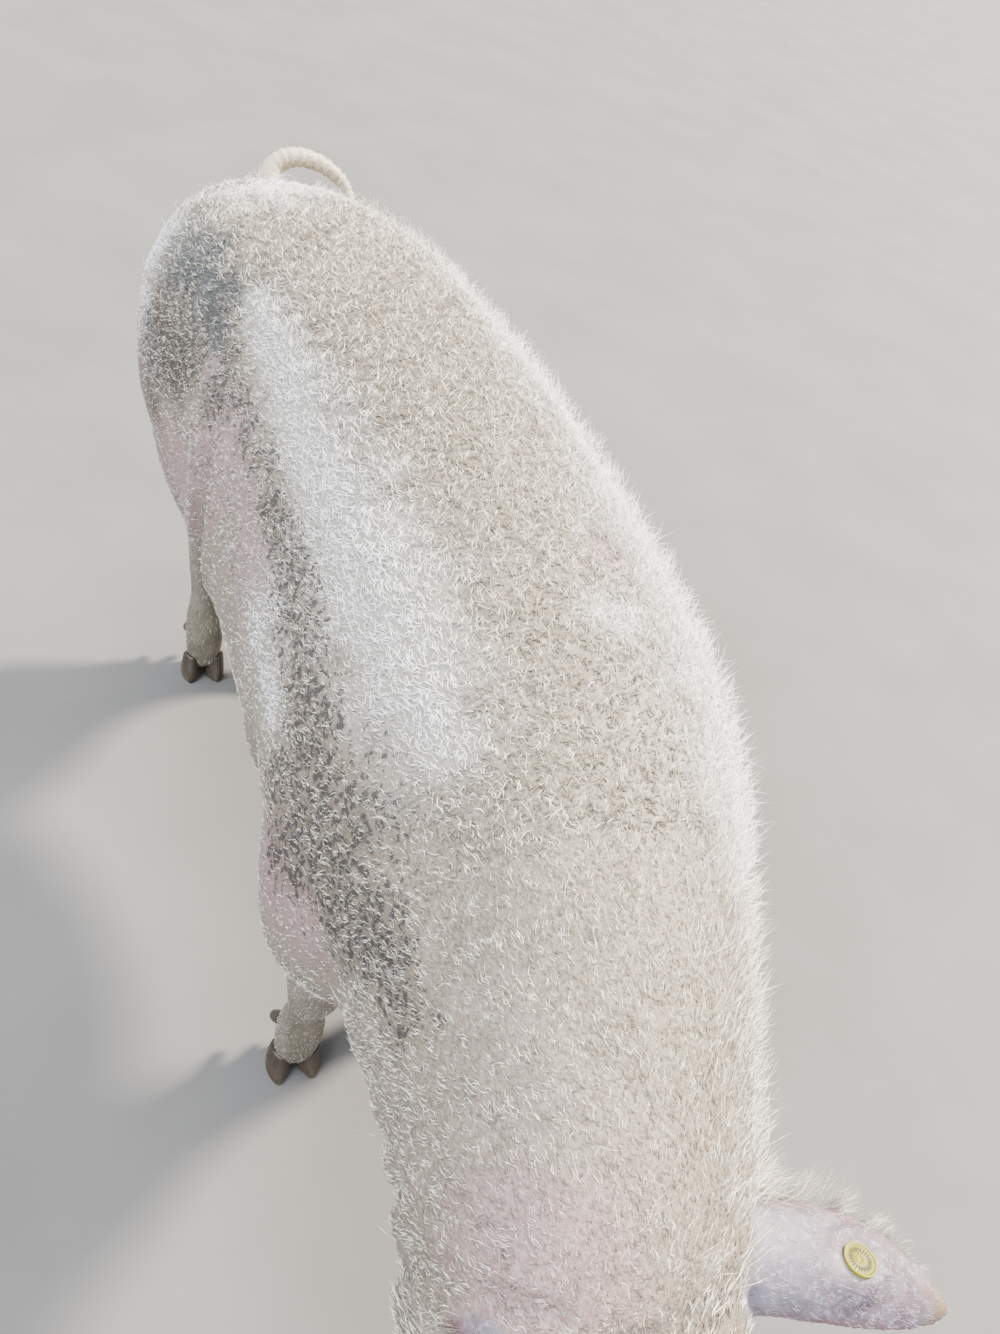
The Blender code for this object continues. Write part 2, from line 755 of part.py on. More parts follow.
def lid_mesh(centre, facing, sign):
    """Upper and lower lid as one almond ring round the eyeball."""
    forward, side, up = head_frame()
    along = (forward - facing * forward.dot(facing)).normalized()
    over = facing.cross(along) * -sign
    if over.dot(up) < 0:
        over = -over
    turn = LID_SLANT
    corner = along * math.cos(turn) + over * math.sin(turn)
    lift = over * math.cos(turn) - along * math.sin(turn)
    bm = bmesh.new()
    loops = []
    for i in range(LID_COUNT):
        angle = 2 * math.pi * i / LID_COUNT
        radial = corner * (LID_HALF_WIDTH * math.cos(angle)) + lift * (LID_HALF_HEIGHT * math.sin(angle))
        reach = math.sqrt(max(EYE_RADIUS ** 2 - radial.length ** 2, LID_RADIUS ** 2))
        point = centre + radial + facing * (reach + LID_LIFT)
        outward = radial.normalized()
        thick = LID_RADIUS * (1.0 + LID_UPPER * max(math.sin(angle), 0))
        loops.append([bm.verts.new(point + (outward * math.cos(a) + facing * math.sin(a)) * thick)
                      for a in (2 * math.pi * k / LID_SIDES for k in range(LID_SIDES))])
    for i in range(LID_COUNT):
        near, far = loops[i], loops[(i + 1) % LID_COUNT]
        for k in range(LID_SIDES):
            n = (k + 1) % LID_SIDES
            bm.faces.new((near[k], near[n], far[n], far[k]))
    bmesh.ops.recalc_face_normals(bm, faces=bm.faces)
    mesh = bpy.data.meshes.new("lids")
    bm.to_mesh(mesh)
    bm.free()
    return mesh


def level_directions():
    """Forward, side and up of the head as if it were held level."""
    forward, side, _ = head_frame()
    level = Vector((forward.x, forward.y, 0)).normalized()
    return level, side, Vector((0, 0, 1))


def ear_frame(sign):
    """Root, reach, width direction and facing of one ear."""
    level, side, up = level_directions()
    root = head_point(EAR_ROOT[0], sign * EAR_ROOT[1], EAR_ROOT[2])
    reach = side * (sign * EAR_REACH[0]) + level * EAR_REACH[1] + up * EAR_REACH[2]
    facing = side * (sign * EAR_FACING[0]) + level * EAR_FACING[1] + up * EAR_FACING[2]
    facing = (facing - reach * (facing.dot(reach) / reach.length_squared)).normalized()
    width = reach.normalized().cross(facing) * -sign
    return root, reach, width, facing


def ear_point(sign, along, across):
    """A point of the ear's back, from root (0) to tip (1) and edge to edge (-1 to 1)."""
    root, reach, width, facing = ear_frame(sign)
    inside = min(max(along, 0.0), 1.0)
    leaf = math.sin(math.pi * (EAR_LEAF_START + (1 - EAR_LEAF_START) * min(inside, 0.999)))
    half = EAR_HALF_WIDTH * max(leaf ** EAR_LEAF_POWER, EAR_TIP_WIDTH)
    opened = min(along / EAR_OPEN_AT, 1.0)
    curl = EAR_CUP_ROOT + (EAR_CUP_OPEN - EAR_CUP_ROOT) * opened
    curl += EAR_TIP_CURL * max(along - EAR_TIP_AT, 0) / (1 - EAR_TIP_AT)
    radius = half / math.sin(min(curl, math.radians(88)))
    angle = across * curl
    middle = root + reach * along - Vector((0, 0, EAR_DROOP * max(along, 0.0) ** 2))
    middle += width * (EAR_BOW * math.sin(math.pi * inside))
    return middle + width * (radius * math.sin(angle)) + facing * (radius * (math.cos(angle) - 1))


def ear_mesh(sign):
    """The ear as a cupped leaf with thickness."""
    bm = bmesh.new()
    grid = []
    for row in range(EAR_ROWS + 1):
        along = -EAR_SUNK + (1 + EAR_SUNK) * row / EAR_ROWS
        grid.append([bm.verts.new(ear_point(sign, along, -1 + 2 * column / EAR_COLUMNS))
                     for column in range(EAR_COLUMNS + 1)])
    for lower, upper in zip(grid, grid[1:]):
        for k in range(EAR_COLUMNS):
            bm.faces.new((lower[k], lower[k + 1], upper[k + 1], upper[k]))
    bm.normal_update()
    facing = ear_frame(sign)[3]
    if sum(face.normal.dot(facing) for face in bm.faces) < 0:
        bmesh.ops.reverse_faces(bm, faces=bm.faces)
    mesh = bpy.data.meshes.new("ear")
    bm.to_mesh(mesh)
    bm.free()
    obj = add_object("ear", mesh)
    shell = obj.modifiers.new("thickness", "SOLIDIFY")
    shell.thickness = EAR_THICK
    shell.offset = -1.0
    shell.use_even_offset = True
    settle(obj)
    mesh = obj.data.copy()
    bpy.data.objects.remove(obj, do_unlink=True)
    return mesh


def tag_disc(name, place, facing, lift):
    """A round disc with a raised rim."""
    across = facing.orthogonal().normalized()
    over = facing.cross(across)
    rings = []
    for height, radius in TAG_PROFILE:
        centre = place + facing * (lift + height * TAG_THICK)
        rings.append(ring(centre, across, over, TAG_RADIUS * radius, TAG_RADIUS * radius,
                          TAG_RADIUS * radius, 1.0)[::2])
    return add_object(name, loft(rings))


def tag_and_seat(ear):
    """The tag's two discs, each seated in the ear by its own rim."""
    place = ear_point(1, *TAG_AT)
    ahead = ear_point(1, TAG_AT[0] + 0.02, TAG_AT[1]) - ear_point(1, TAG_AT[0] - 0.02, TAG_AT[1])
    across = ear_point(1, TAG_AT[0], TAG_AT[1] + 0.04) - ear_point(1, TAG_AT[0], TAG_AT[1] - 0.04)
    facing = ahead.cross(across).normalized()
    if facing.dot(ear_frame(1)[3]) < 0:
        facing = -facing
    front = tag_disc("tag_front", place, facing, -TAG_SEAT)
    back = tag_disc("tag_back", place - facing * EAR_THICK, -facing, -TAG_SEAT)
    for disc in (front, back):
        combine(ear, [grown_copy(disc, GAP)], "DIFFERENCE")
    return front, back


def tail_mesh():
    """The tail as one curled tube."""
    rows = catmull(TAIL, TAIL_STEPS)
    return swept_tube([Vector(row[:3]) for row in rows], [row[3] for row in rows], TAIL_POINTS)


def claw_mesh(foot, sign):
    """One main claw, with a flat sole and a wall that leans back."""
    rings = []
    for height, length, width, back in CLAW_PROFILE:
        half = CLAW_LENGTH / 2 * length
        centre = Vector((sign * CLAW_APART, CLAW_LENGTH * back, CLAW_HEIGHT * height))
        points = []
        for k in range(CLAW_POINTS):
            angle = 2 * math.pi * k / CLAW_POINTS
            pointed = 1.0 - CLAW_POINTED * max(-math.sin(angle), 0) ** 2
            points.append(centre + Vector((CLAW_HALF_WIDTH * width * math.cos(angle) * pointed,
                                           half * math.sin(angle), 0)))
        rings.append(points)
    mesh = loft(rings)
    turn = Matrix.Translation((foot[0], foot[1], 0)) @ Matrix.Rotation(sign * CLAW_SPLAY, 4, "Z")
    mesh.transform(turn)
    return mesh


def dew_claw_mesh(foot, sign, back):
    """One small claw that hangs behind the pastern."""
    points, radii = [], []
    for share, size in DEW_PROFILE:
        apart = Vector((sign * DEW_APART * (1 + DEW_SPREAD * share), back, 0))
        points.append(Vector((*foot, 0)) + apart + DEW_START + DEW_RUN * share)
        radii.append(DEW_RADIUS * size)
    return swept_tube(points, radii, DEW_SIDES)


def add_claws(foot_name, leg):
    """Main and dew claws of one foot, cut to sit on the leg's end."""
    foot = FEET[foot_name]
    back = DEW_BACK[foot_name[:4]]
    claws = []
    for label, sign in (("right", -1), ("left", 1)):
        name = foot_name + "_" + label
        claws.append(add_object("claw_" + name, claw_mesh(foot, sign)))
        claws.append(add_object("dew_claw_" + name, dew_claw_mesh(foot, sign, back)))
    for claw in claws:
        combine(claw, [grown_copy(leg, GAP)], "DIFFERENCE")
    return claws


def paint(obj, colour):
    """Give a piece its own material."""
    tint, roughness = COLOURS[colour]
    material = bpy.data.materials.new(obj.name + "_" + colour)
    material.use_nodes = True
    shader = material.node_tree.nodes["Principled BSDF"]
    shader.inputs["Base Color"].default_value = rgba(tint)
    shader.inputs["Roughness"].default_value = roughness
    shader.inputs["Metallic"].default_value = 0.0
    material.diffuse_color = rgba(tint)
    obj.data.materials.clear()
    obj.data.materials.append(material)
    obj.data.shade_smooth()
    obj.data.set_sharp_from_angle(angle=math.radians(40))


def hang_tail(torso):
    """The tail, cut to sit on the rump."""
    tail = add_object("tail", tail_mesh())
    combine(tail, [grown_copy(torso, GAP)], "DIFFERENCE")
    return tail


def tree_of(mesh, grown=0.0):
    """A search tree of a mesh, which may be grown all over."""
    bm = bmesh.new()
    bm.from_mesh(mesh)
    bm.normal_update()
    moves = [vert.normal * grown for vert in bm.verts]
    for vert, move in zip(bm.verts, moves):
        vert.co += move
    tree = BVHTree.FromBMesh(bm)
    bm.free()
    return tree


def lock_mesh(tree, root, facing, fall, draw):
    """One flat, tapered lock that leaves the skin at its root and bends along it."""
    size = draw.uniform(0.90, 1.08)
    length, width = LOCK_LENGTH * size, LOCK_WIDTH * size
    height = LOCK_HEIGHT * draw.uniform(0.85, 1.10)
    sway = draw.uniform(-LOCK_SWAY, LOCK_SWAY)
    back = Vector((0, 1, -fall))
    lie = (back - facing * back.dot(facing)).normalized()
    across = facing.cross(lie)
    rings = []
    for share, wide, rise in LOCK_STAGES:
        ahead = root + lie * (length * share) + across * (length * sway * share * share)
        near, normal, _, _ = tree.find_nearest(ahead)
        middle = near + normal * (LOCK_SUNK * rise if rise < 0 else height * rise)
        side = normal.cross(lie).normalized() * (width * wide / 2)
        rings.append((middle - side, middle + side, middle + normal * LOCK_THICK))
    bm = bmesh.new()
    loops = [[bm.verts.new(point) for point in points] for points in rings[1:-1]]
    ends = [bm.verts.new(rings[0][0]), bm.verts.new(rings[-1][0])]
    for lower, upper in zip(loops, loops[1:]):
        for k in range(3):
            n = (k + 1) % 3
            bm.faces.new((lower[k], lower[n], upper[n]))
            bm.faces.new((lower[k], upper[n], upper[k]))
    for loop, end in zip((loops[0], loops[-1]), ends):
        for k in range(3):
            bm.faces.new((loop[k], loop[(k + 1) % 3], end))
    bmesh.ops.recalc_face_normals(bm, faces=bm.faces)
    mesh = bpy.data.meshes.new("lock")
    bm.to_mesh(mesh)
    bm.free()
    return mesh


def trunk_section(along):
    """Middle and mean radius of the trunk at one place along it."""
    rows = catmull(TRUNK, TRUNK_STEPS)
    row = min(rows, key=lambda candidate: abs(candidate[0] - along))
    _, sideways, top, bottom, half_width = row
    middle = Vector((sideways, along, bottom + TRUNK_MIDDLE * (top - bottom)))
    return middle, (half_width + top - middle.z) / 2


def flank_roots(tree):
    """Roots in staggered rows over the back and down both flanks."""
    roots = []
    for row in range(int((COAT_LAST - COAT_FIRST) / COAT_ROW) + 1):
        middle, radius = trunk_section(COAT_FIRST + row * COAT_ROW)
        step = COAT_APART / radius
        count = int(COAT_LOWEST / step) + 1
        for k in range(-count, count + 1):
            angle = (k + 0.5 * (row % 2)) * step
            out = Vector((math.sin(angle), 0, math.cos(angle)))
            place, facing = surface_hit(tree, middle + out, middle)
            if abs(angle) <= COAT_LOWEST and facing.y < RUMP_FACING:
                roots.append((place, facing, COAT_FALL * abs(math.sin(angle))))
    return roots


def rump_roots(tree):
    """Roots in staggered rows down the back of the hams, clear of the tail."""
    roots = []
    tail_root = Vector(TAIL[1][:3])
    rows = int((RUMP_TOP - RUMP_FOOT) / COAT_ROW) + 1
    for row in range(rows):
        height = RUMP_TOP - row * COAT_ROW
        for k in range(-RUMP_HALF_COUNT, RUMP_HALF_COUNT + 1):
            sideways = TRUNK[0][1] + (k + 0.5 * (row % 2)) * COAT_APART
            behind = Vector((sideways, 1.2, height))
            place, facing = surface_hit(tree, behind, behind - Vector((0, 1, 0)))
            if place is None or facing.y < RUMP_FACING or (place - tail_root).length < TAIL_CLEAR:
                continue
            roots.append((place, facing, 1.0))
    return roots


def owner_of(place, lie, trees):
    """The coat's node that holds the whole sunk root, or None where a cut runs under it."""
    owners = set()
    for share in LOCK_FOOTING:
        point = place + lie * (LOCK_LENGTH * share)
        owners.add(min(COAT_NODES, key=lambda name: (trees[name].find_nearest(point)[0] - point).length))
    return owners.pop() if len(owners) == 1 else None


def grow_coat(nodes):
    """Fuse locks to head, neck and torso, each clear of every other node."""
    draw = random.Random(COAT_SEED)
    skin = joined([nodes[name].data.copy() for name in COAT_NODES])
    tree = tree_of(skin)
    bpy.data.meshes.remove(skin)
    trees = {name: tree_of(node.data) for name, node in nodes.items()}
    locks = {name: [] for name in COAT_NODES}
    fringes = {name: [] for name in COAT_NODES}
    taken = []
    for place, facing, fall in flank_roots(tree) + rump_roots(tree):
        back = Vector((0, 1, -fall))
        lie = (back - facing * back.dot(facing)).normalized()
        for shift in LOCK_SHIFTS:
            root, normal, _, _ = tree.find_nearest(place + lie * shift)
            owner = owner_of(root, lie, trees)
            if owner:
                break
        else:
            continue
        if any((root - other).length < COAT_NEAREST for other in taken):
            continue
        mesh = lock_mesh(tree, root, normal, fall, draw)
        grown = tree_of(mesh, LOCK_CLEAR)
        others = [trees[name] for name in nodes if name != owner]
        others += [fringe for name in COAT_NODES if name != owner for fringe in fringes[name]]
        if any(grown.overlap(other) for other in others):
            bpy.data.meshes.remove(mesh)
            continue
        taken.append(root)
        locks[owner].append(mesh)
        fringes[owner].append(grown)
    for name, meshes in locks.items():
        combine(nodes[name], [add_object("lock", mesh) for mesh in meshes], "UNION", "MANIFOLD")


def centre_on_floor(nodes):
    """Shift everything so that the origin lies under the middle of the whole."""
    points = [vert.co for node in nodes for vert in node.data.vertices]
    low = Vector([min(p[i] for p in points) for i in range(3)])
    high = Vector([max(p[i] for p in points) for i in range(3)])
    shift = Matrix.Translation((-(low.x + high.x) / 2, -(low.y + high.y) / 2, -low.z))
    for node in nodes:
        node.data.transform(shift)


def main():
    start_scene()
    whole = flesh()
    nodes = {"head": half_of(whole, "head", 1, HEAD_TRIANGLES)}
    body = half_of(whole, "body", -1, BODY_TRIANGLES)
    bpy.data.objects.remove(whole, do_unlink=True)
    nodes.update(part_flesh(body))
    nodes.update(shape_head(nodes["head"]))
    for name, sign in (("ear_right", -1), ("ear_left", 1)):
        nodes[name] = add_object(name, ear_mesh(sign))
        combine(nodes[name], [grown_copy(nodes["head"], GAP)], "DIFFERENCE")
        combine(nodes[name], [grown_copy(nodes["neck"], GAP)], "DIFFERENCE")
    nodes["tag_front"], nodes["tag_back"] = tag_and_seat(nodes["ear_left"])
    nodes["tail"] = hang_tail(nodes["torso"])
    for foot_name in FEET:
        for claw in add_claws(foot_name, nodes["leg_lower_" + foot_name]):
            nodes[claw.name] = claw
    grow_coat(nodes)
    for name, node in nodes.items():
        paint(node, PAINTS.get(name.split("_")[0], "hide"))
    centre_on_floor(list(nodes.values()))


main()
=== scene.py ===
"""Looks of the life-size pig: one skin, a coat of small tufts, eyes, claws and the ear tag.

The flesh is shaped with the same sections as the solids, then refined, and the
coat is combed over it. Shapes are worked out in the pig's own frame, in which
the fore right foot is where FEET says, and then shifted onto the solids.
"""
import math

import bmesh
import bpy
import numpy as np
from mathutils import Matrix, Vector, kdtree
from mathutils.bvhtree import BVHTree


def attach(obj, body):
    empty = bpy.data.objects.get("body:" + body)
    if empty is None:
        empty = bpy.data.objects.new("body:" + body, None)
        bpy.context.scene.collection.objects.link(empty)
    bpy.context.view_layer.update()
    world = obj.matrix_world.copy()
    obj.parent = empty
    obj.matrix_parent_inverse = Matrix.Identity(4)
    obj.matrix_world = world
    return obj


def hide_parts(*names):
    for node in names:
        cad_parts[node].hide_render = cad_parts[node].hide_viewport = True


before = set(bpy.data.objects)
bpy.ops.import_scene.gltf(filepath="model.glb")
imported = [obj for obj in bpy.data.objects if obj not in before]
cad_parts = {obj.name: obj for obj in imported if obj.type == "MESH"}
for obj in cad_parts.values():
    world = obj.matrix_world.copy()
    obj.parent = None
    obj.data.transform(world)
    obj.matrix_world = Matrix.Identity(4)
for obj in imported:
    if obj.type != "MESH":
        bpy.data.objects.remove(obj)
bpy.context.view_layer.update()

# ---------------------------------------------------------------- the flesh

RING_POINTS = 28
BODY_VOXEL, BODY_PASSES = 0.011, 9
WHOLE_VOXEL, WHOLE_PASSES = 0.0065, 3

# Trunk: along, sideways, top, bottom and half width of each section
TRUNK = (
    (0.592, -0.102, 0.815, 0.640, 0.070), (0.567, -0.100, 0.866, 0.580, 0.134),
    (0.500, -0.094, 0.907, 0.515, 0.186), (0.400, -0.080, 0.934, 0.480, 0.220),
    (0.280, -0.058, 0.946, 0.458, 0.230), (0.130, -0.026, 0.952, 0.398, 0.236),
    (-0.050, 0.000, 0.947, 0.362, 0.242), (-0.230, 0.012, 0.932, 0.374, 0.247),
    (-0.400, 0.012, 0.917, 0.404, 0.237), (-0.540, 0.000, 0.895, 0.432, 0.210),
    (-0.660, -0.022, 0.868, 0.465, 0.176), (-0.770, -0.048, 0.840, 0.490, 0.152),
    (-0.860, -0.072, 0.810, 0.500, 0.138), (-0.920, -0.086, 0.770, 0.530, 0.110),
)
TRUNK_STEPS, TRUNK_POWER, TRUNK_MIDDLE = 4, 0.86, 0.52

# Legs: height, along, outward, half length and half width of each section
FORE_LEG = (
    (0.800, 0.000, -0.050, 0.100, 0.070), (0.680, -0.030, -0.005, 0.140, 0.100),
    (0.560, -0.035, 0.015, 0.138, 0.102), (0.470, -0.020, 0.016, 0.112, 0.088),
    (0.400, 0.000, 0.010, 0.080, 0.064), (0.320, 0.006, 0.003, 0.055, 0.047),
    (0.255, 0.006, 0.001, 0.046, 0.043), (0.225, 0.006, 0.000, 0.043, 0.041),
    (0.165, 0.012, 0.000, 0.031, 0.030), (0.110, 0.014, 0.000, 0.036, 0.036),
    (0.070, 0.011, 0.000, 0.033, 0.037), (0.020, 0.007, 0.000, 0.024, 0.031),
)
HIND_LEG = (
    (0.850, 0.020, -0.040, 0.100, 0.050), (0.760, 0.030, 0.000, 0.160, 0.080),
    (0.660, 0.020, 0.020, 0.195, 0.096), (0.560, 0.010, 0.020, 0.180, 0.098),
    (0.480, 0.005, 0.012, 0.150, 0.088), (0.410, 0.018, 0.006, 0.108, 0.070),
    (0.345, 0.045, 0.002, 0.072, 0.050), (0.290, 0.066, 0.000, 0.058, 0.041),
    (0.240, 0.066, 0.000, 0.043, 0.036), (0.165, 0.050, 0.000, 0.032, 0.030),
    (0.110, 0.036, 0.000, 0.036, 0.036), (0.070, 0.018, 0.000, 0.033, 0.037),
    (0.020, 0.007, 0.000, 0.024, 0.031),
)
LEG_STEPS, LEG_POWER = 3, 0.95
FEET = {
    "fore_right": (-0.122, -0.395),
    "fore_left": (0.142, -0.350),
    "hind_right": (-0.156, 0.390),
    "hind_left": (0.040, 0.352),
}

# Head, along the line of the muzzle: distance, rise, drop and half width
HEAD_ROOT = Vector((-0.074, -0.822, 0.660))
HEAD_PITCH, HEAD_YAW = math.radians(33.0), math.radians(7.0)
HEAD = (
    (-0.060, 0.110, 0.120, 0.105), (0.000, 0.136, 0.160, 0.130),
    (0.060, 0.134, 0.166, 0.132), (0.110, 0.116, 0.150, 0.118),
    (0.160, 0.087, 0.126, 0.100), (0.215, 0.064, 0.106, 0.083),
    (0.270, 0.054, 0.090, 0.070), (0.320, 0.050, 0.072, 0.060),
    (0.352, 0.048, 0.054, 0.054),
)
HEAD_STEPS, HEAD_POWER = 4, 0.92
HEAD_MASSES = {
    "jowl": (0.060, 0.058, -0.070, 0.095, 0.060, 0.078),
    "cheek": (0.125, 0.070, -0.010, 0.060, 0.036, 0.048),
    "brow": (0.120, 0.070, 0.068, 0.040, 0.022, 0.018),
    "ear_base": (0.012, 0.080, 0.092, 0.040, 0.034, 0.030),
    "chin": (0.290, 0.018, -0.052, 0.052, 0.026, 0.018),
}

# Snout disc, nostrils, eyes, lids and mouth
SNOUT_AT, SNOUT_RISE = 0.370, 0.003
SNOUT_HALF_WIDTH, SNOUT_HALF_HEIGHT, SNOUT_DEPTH = 0.056, 0.045, 0.030
SNOUT_TILT, SNOUT_POWER = math.radians(10.0), 0.9
SNOUT_PROFILE = ((-1.0, 0.74), (-0.62, 0.88), (-0.36, 0.97), (-0.20, 1.0), (-0.08, 0.98), (-0.02, 0.90),
                 (-0.05, 0.82), (-0.06, 0.40), (-0.05, 0.10))
NOSTRIL_APART, NOSTRIL_WIDTH, NOSTRIL_HEIGHT, NOSTRIL_DEPTH = 0.021, 0.0085, 0.0118, 0.022
NOSTRIL_RIM, NOSTRIL_RIM_WIDTH = 0.0016, 0.0045
NOSTRIL_PROFILE = ((0.3, 1.25), (0.0, 1.0), (-0.5, 0.8), (-1.0, 0.4))
EYE_AT, EYE_AHEAD, EYE_RADIUS, EYE_SUNK, EYE_ROOM = (0.146, 0.046), 0.05, 0.0145, 0.0088, 0.0002
LID_HALF_WIDTH, LID_HALF_HEIGHT, LID_RADIUS = 0.0168, 0.0094, 0.0040
LID_SLANT, LID_COUNT, LID_SIDES, LID_LIFT, LID_UPPER = math.radians(9.0), 40, 10, 0.0008, 0.45
LID_POINTED = 1.45
# Folds round the slit, by how many slit sizes from its middle, how thick, and how high
LID_FOLDS = ((1.16, 0.17, 0.0016), (1.62, 0.15, -0.0026), (2.05, 0.26, 0.0020), (2.62, 0.20, -0.0018),
             (3.10, 0.30, 0.0010))
MOUTH_LINE = ((0.196, -0.038), (0.225, -0.053), (0.260, -0.060), (0.300, -0.055), (0.334, -0.046))
MOUTH_FRONT, MOUTH_STEPS, MOUTH_PRESS, MOUTH_WIDTH = -0.046, 6, 0.0060, 0.0030
MUZZLE_MIDDLE = (0.27, 0.0, -0.02)
# How far to the side the lines start that find places on the head
AIM_FROM = 0.3
LIP_RADIUS, LIP_APART, LIP_SUNK, LIP_THINNEST = 0.0062, 0.0060, 0.0026, 0.45

# Ears
EAR_ROOT, EAR_REACH, EAR_FACING = (0.020, 0.080, 0.108), (0.180, 0.098, -0.022), (-0.08, 0.34, 0.91)
EAR_DROOP, EAR_HALF_WIDTH, EAR_THICK = 0.017, 0.042, 0.0060
EAR_LEAF_START, EAR_LEAF_POWER, EAR_TIP_WIDTH = 0.20, 0.50, 0.10
EAR_CUP_ROOT, EAR_CUP_OPEN, EAR_OPEN_AT = math.radians(104.0), math.radians(42.0), 0.60
EAR_TIP_CURL, EAR_TIP_AT, EAR_BOW, EAR_SUNK = math.radians(26.0), 0.75, 0.010, 0.10
EAR_ROWS, EAR_COLUMNS = 40, 28
EAR_NEAR = 0.016
TAG_AT = (0.55, 0.19)
TAG_FACING = Vector((0.064, 0.218, 0.973)).normalized()
TAG_TURN_FULL, TAG_TURN_END = 0.015, 0.036

# Tail: middle line and radius
TAIL = (
    (-0.080, 0.560, 0.830, 0.0240), (-0.094, 0.600, 0.846, 0.0180), (-0.092, 0.622, 0.872, 0.0152),
    (-0.060, 0.630, 0.890, 0.0138), (-0.018, 0.630, 0.886, 0.0120), (0.018, 0.624, 0.866, 0.0095),
    (0.034, 0.614, 0.836, 0.0070), (0.030, 0.606, 0.800, 0.0040),
)

# Fine skin: its voxel, smoothing, triangles left, and how deep it lies under
# the solids' surface on trunk, legs and head
FINE_VOXEL, FINE_PASSES, SKIN_TRIANGLES = 0.0027, 3, 182000
DEPTH_TRUNK, DEPTH_LEGS, DEPTH_HEAD = 0.0045, 0.0012, 0.0012


def catmull(rows, steps):
    """Fill in smooth rows between the given ones."""
    rows = np.array([tuple(row) for row in rows], float)
    last = len(rows) - 1
    filled = []
    for i in range(last):
        a, b, c, d = rows[max(i - 1, 0)], rows[i], rows[i + 1], rows[min(i + 2, last)]
        for step in range(steps):
            t = step / steps
            filled.append(0.5 * (2 * b + (c - a) * t + (2 * a - 5 * b + 4 * c - d) * t * t
                                 + (3 * b - a - 3 * c + d) * t ** 3))
    filled.append(rows[last])
    return filled


def as_mesh(bm, name):
    """Write an edit mesh out as a mesh of its own."""
    mesh = bpy.data.meshes.new(name)
    bm.to_mesh(mesh)
    bm.free()
    return mesh


def ring(centre, side, up, half_width, rise, drop, power, count=RING_POINTS):
    """Points of one closed section, fuller than an ellipse where power is below 1."""
    points = []
    for k in range(count):
        angle = 2 * math.pi * k / count
        across = math.copysign(abs(math.cos(angle)) ** power, math.cos(angle))
        along = math.copysign(abs(math.sin(angle)) ** power, math.sin(angle))
        height = rise if along > 0 else drop
        points.append(centre + side * (half_width * across) + up * (height * along))
    return points


def loft(rings, closed=False):
    """Skin a row of rings, and close both ends or join them."""
    bm = bmesh.new()
    loops = [[bm.verts.new(point) for point in points] for points in rings]
    pairs = list(zip(loops, loops[1:])) + ([(loops[-1], loops[0])] if closed else [])
    for lower, upper in pairs:
        count = len(lower)
        for k in range(count):
            n = (k + 1) % count
            bm.faces.new((lower[k], lower[n], upper[n], upper[k]))
    if not closed:
        bm.faces.new(loops[0][::-1])
        bm.faces.new(loops[-1])
    bmesh.ops.recalc_face_normals(bm, faces=bm.faces)
    return as_mesh(bm, "loft")


def tube(points, radii, sides=8):
    """A closed tube along points, with its own radius at each."""
    rings = []
    for i, point in enumerate(points):
        ahead = points[min(i + 1, len(points) - 1)] - points[max(i - 1, 0)]
        across = ahead.cross(Vector((0.03, 0.02, 1))).normalized()
        over = across.cross(ahead).normalized()
        rings.append([point + (across * math.cos(a) + over * math.sin(a)) * radii[i]
                      for a in (2 * math.pi * k / sides for k in range(sides))])
    return loft(rings)


def add_object(name, mesh):
    """Put a mesh in the scene as an object."""
    obj = bpy.data.objects.new(name, mesh)
    bpy.context.scene.collection.objects.link(obj)
    return obj


def joined(meshes):
    """Gather meshes into one, still as separate shells."""
    bm = bmesh.new()
    for mesh in meshes:
        bm.from_mesh(mesh)
        bpy.data.meshes.remove(mesh)
    return as_mesh(bm, "joined")


def settle(obj):
    """Apply an object's modifiers."""
    graph = bpy.context.evaluated_depsgraph_get()
    mesh = bpy.data.meshes.new_from_object(obj.evaluated_get(graph))
    obj.modifiers.clear()
    obj.data = mesh
    return obj


def blend(obj, voxel, passes):
    """Melt overlapping shells into one smooth skin."""
    remesh = obj.modifiers.new("melt", "REMESH")
    remesh.mode = "VOXEL"
    remesh.voxel_size = voxel
    smooth = obj.modifiers.new("smooth", "SMOOTH")
    smooth.factor = 0.5
    smooth.iterations = passes
    return settle(obj)


def head_frame():
    """Forward, side and up directions of the head."""
    forward = Vector((math.sin(HEAD_YAW) * math.cos(HEAD_PITCH),
                      -math.cos(HEAD_YAW) * math.cos(HEAD_PITCH), -math.sin(HEAD_PITCH)))
    side = forward.cross(Vector((0, 0, 1))).normalized() * -1
    return forward, side, side.cross(forward) * -1


FORWARD, SIDE, UP = head_frame()


def head_point(distance, sideways, rise):
    """A point given in the head's own directions."""
    return HEAD_ROOT + FORWARD * distance + SIDE * sideways + UP * rise


def ellipsoid(centre, sizes):
    """A closed ellipsoid along the head's directions."""
    bm = bmesh.new()
    bmesh.ops.create_uvsphere(bm, u_segments=24, v_segments=14, radius=1.0)
    turn = Matrix((FORWARD * sizes[0], SIDE * sizes[1], UP * sizes[2])).transposed().to_4x4()
    turn.translation = centre
    bmesh.ops.transform(bm, matrix=turn, verts=bm.verts)
    bmesh.ops.recalc_face_normals(bm, faces=bm.faces)
    return as_mesh(bm, "ellipsoid")


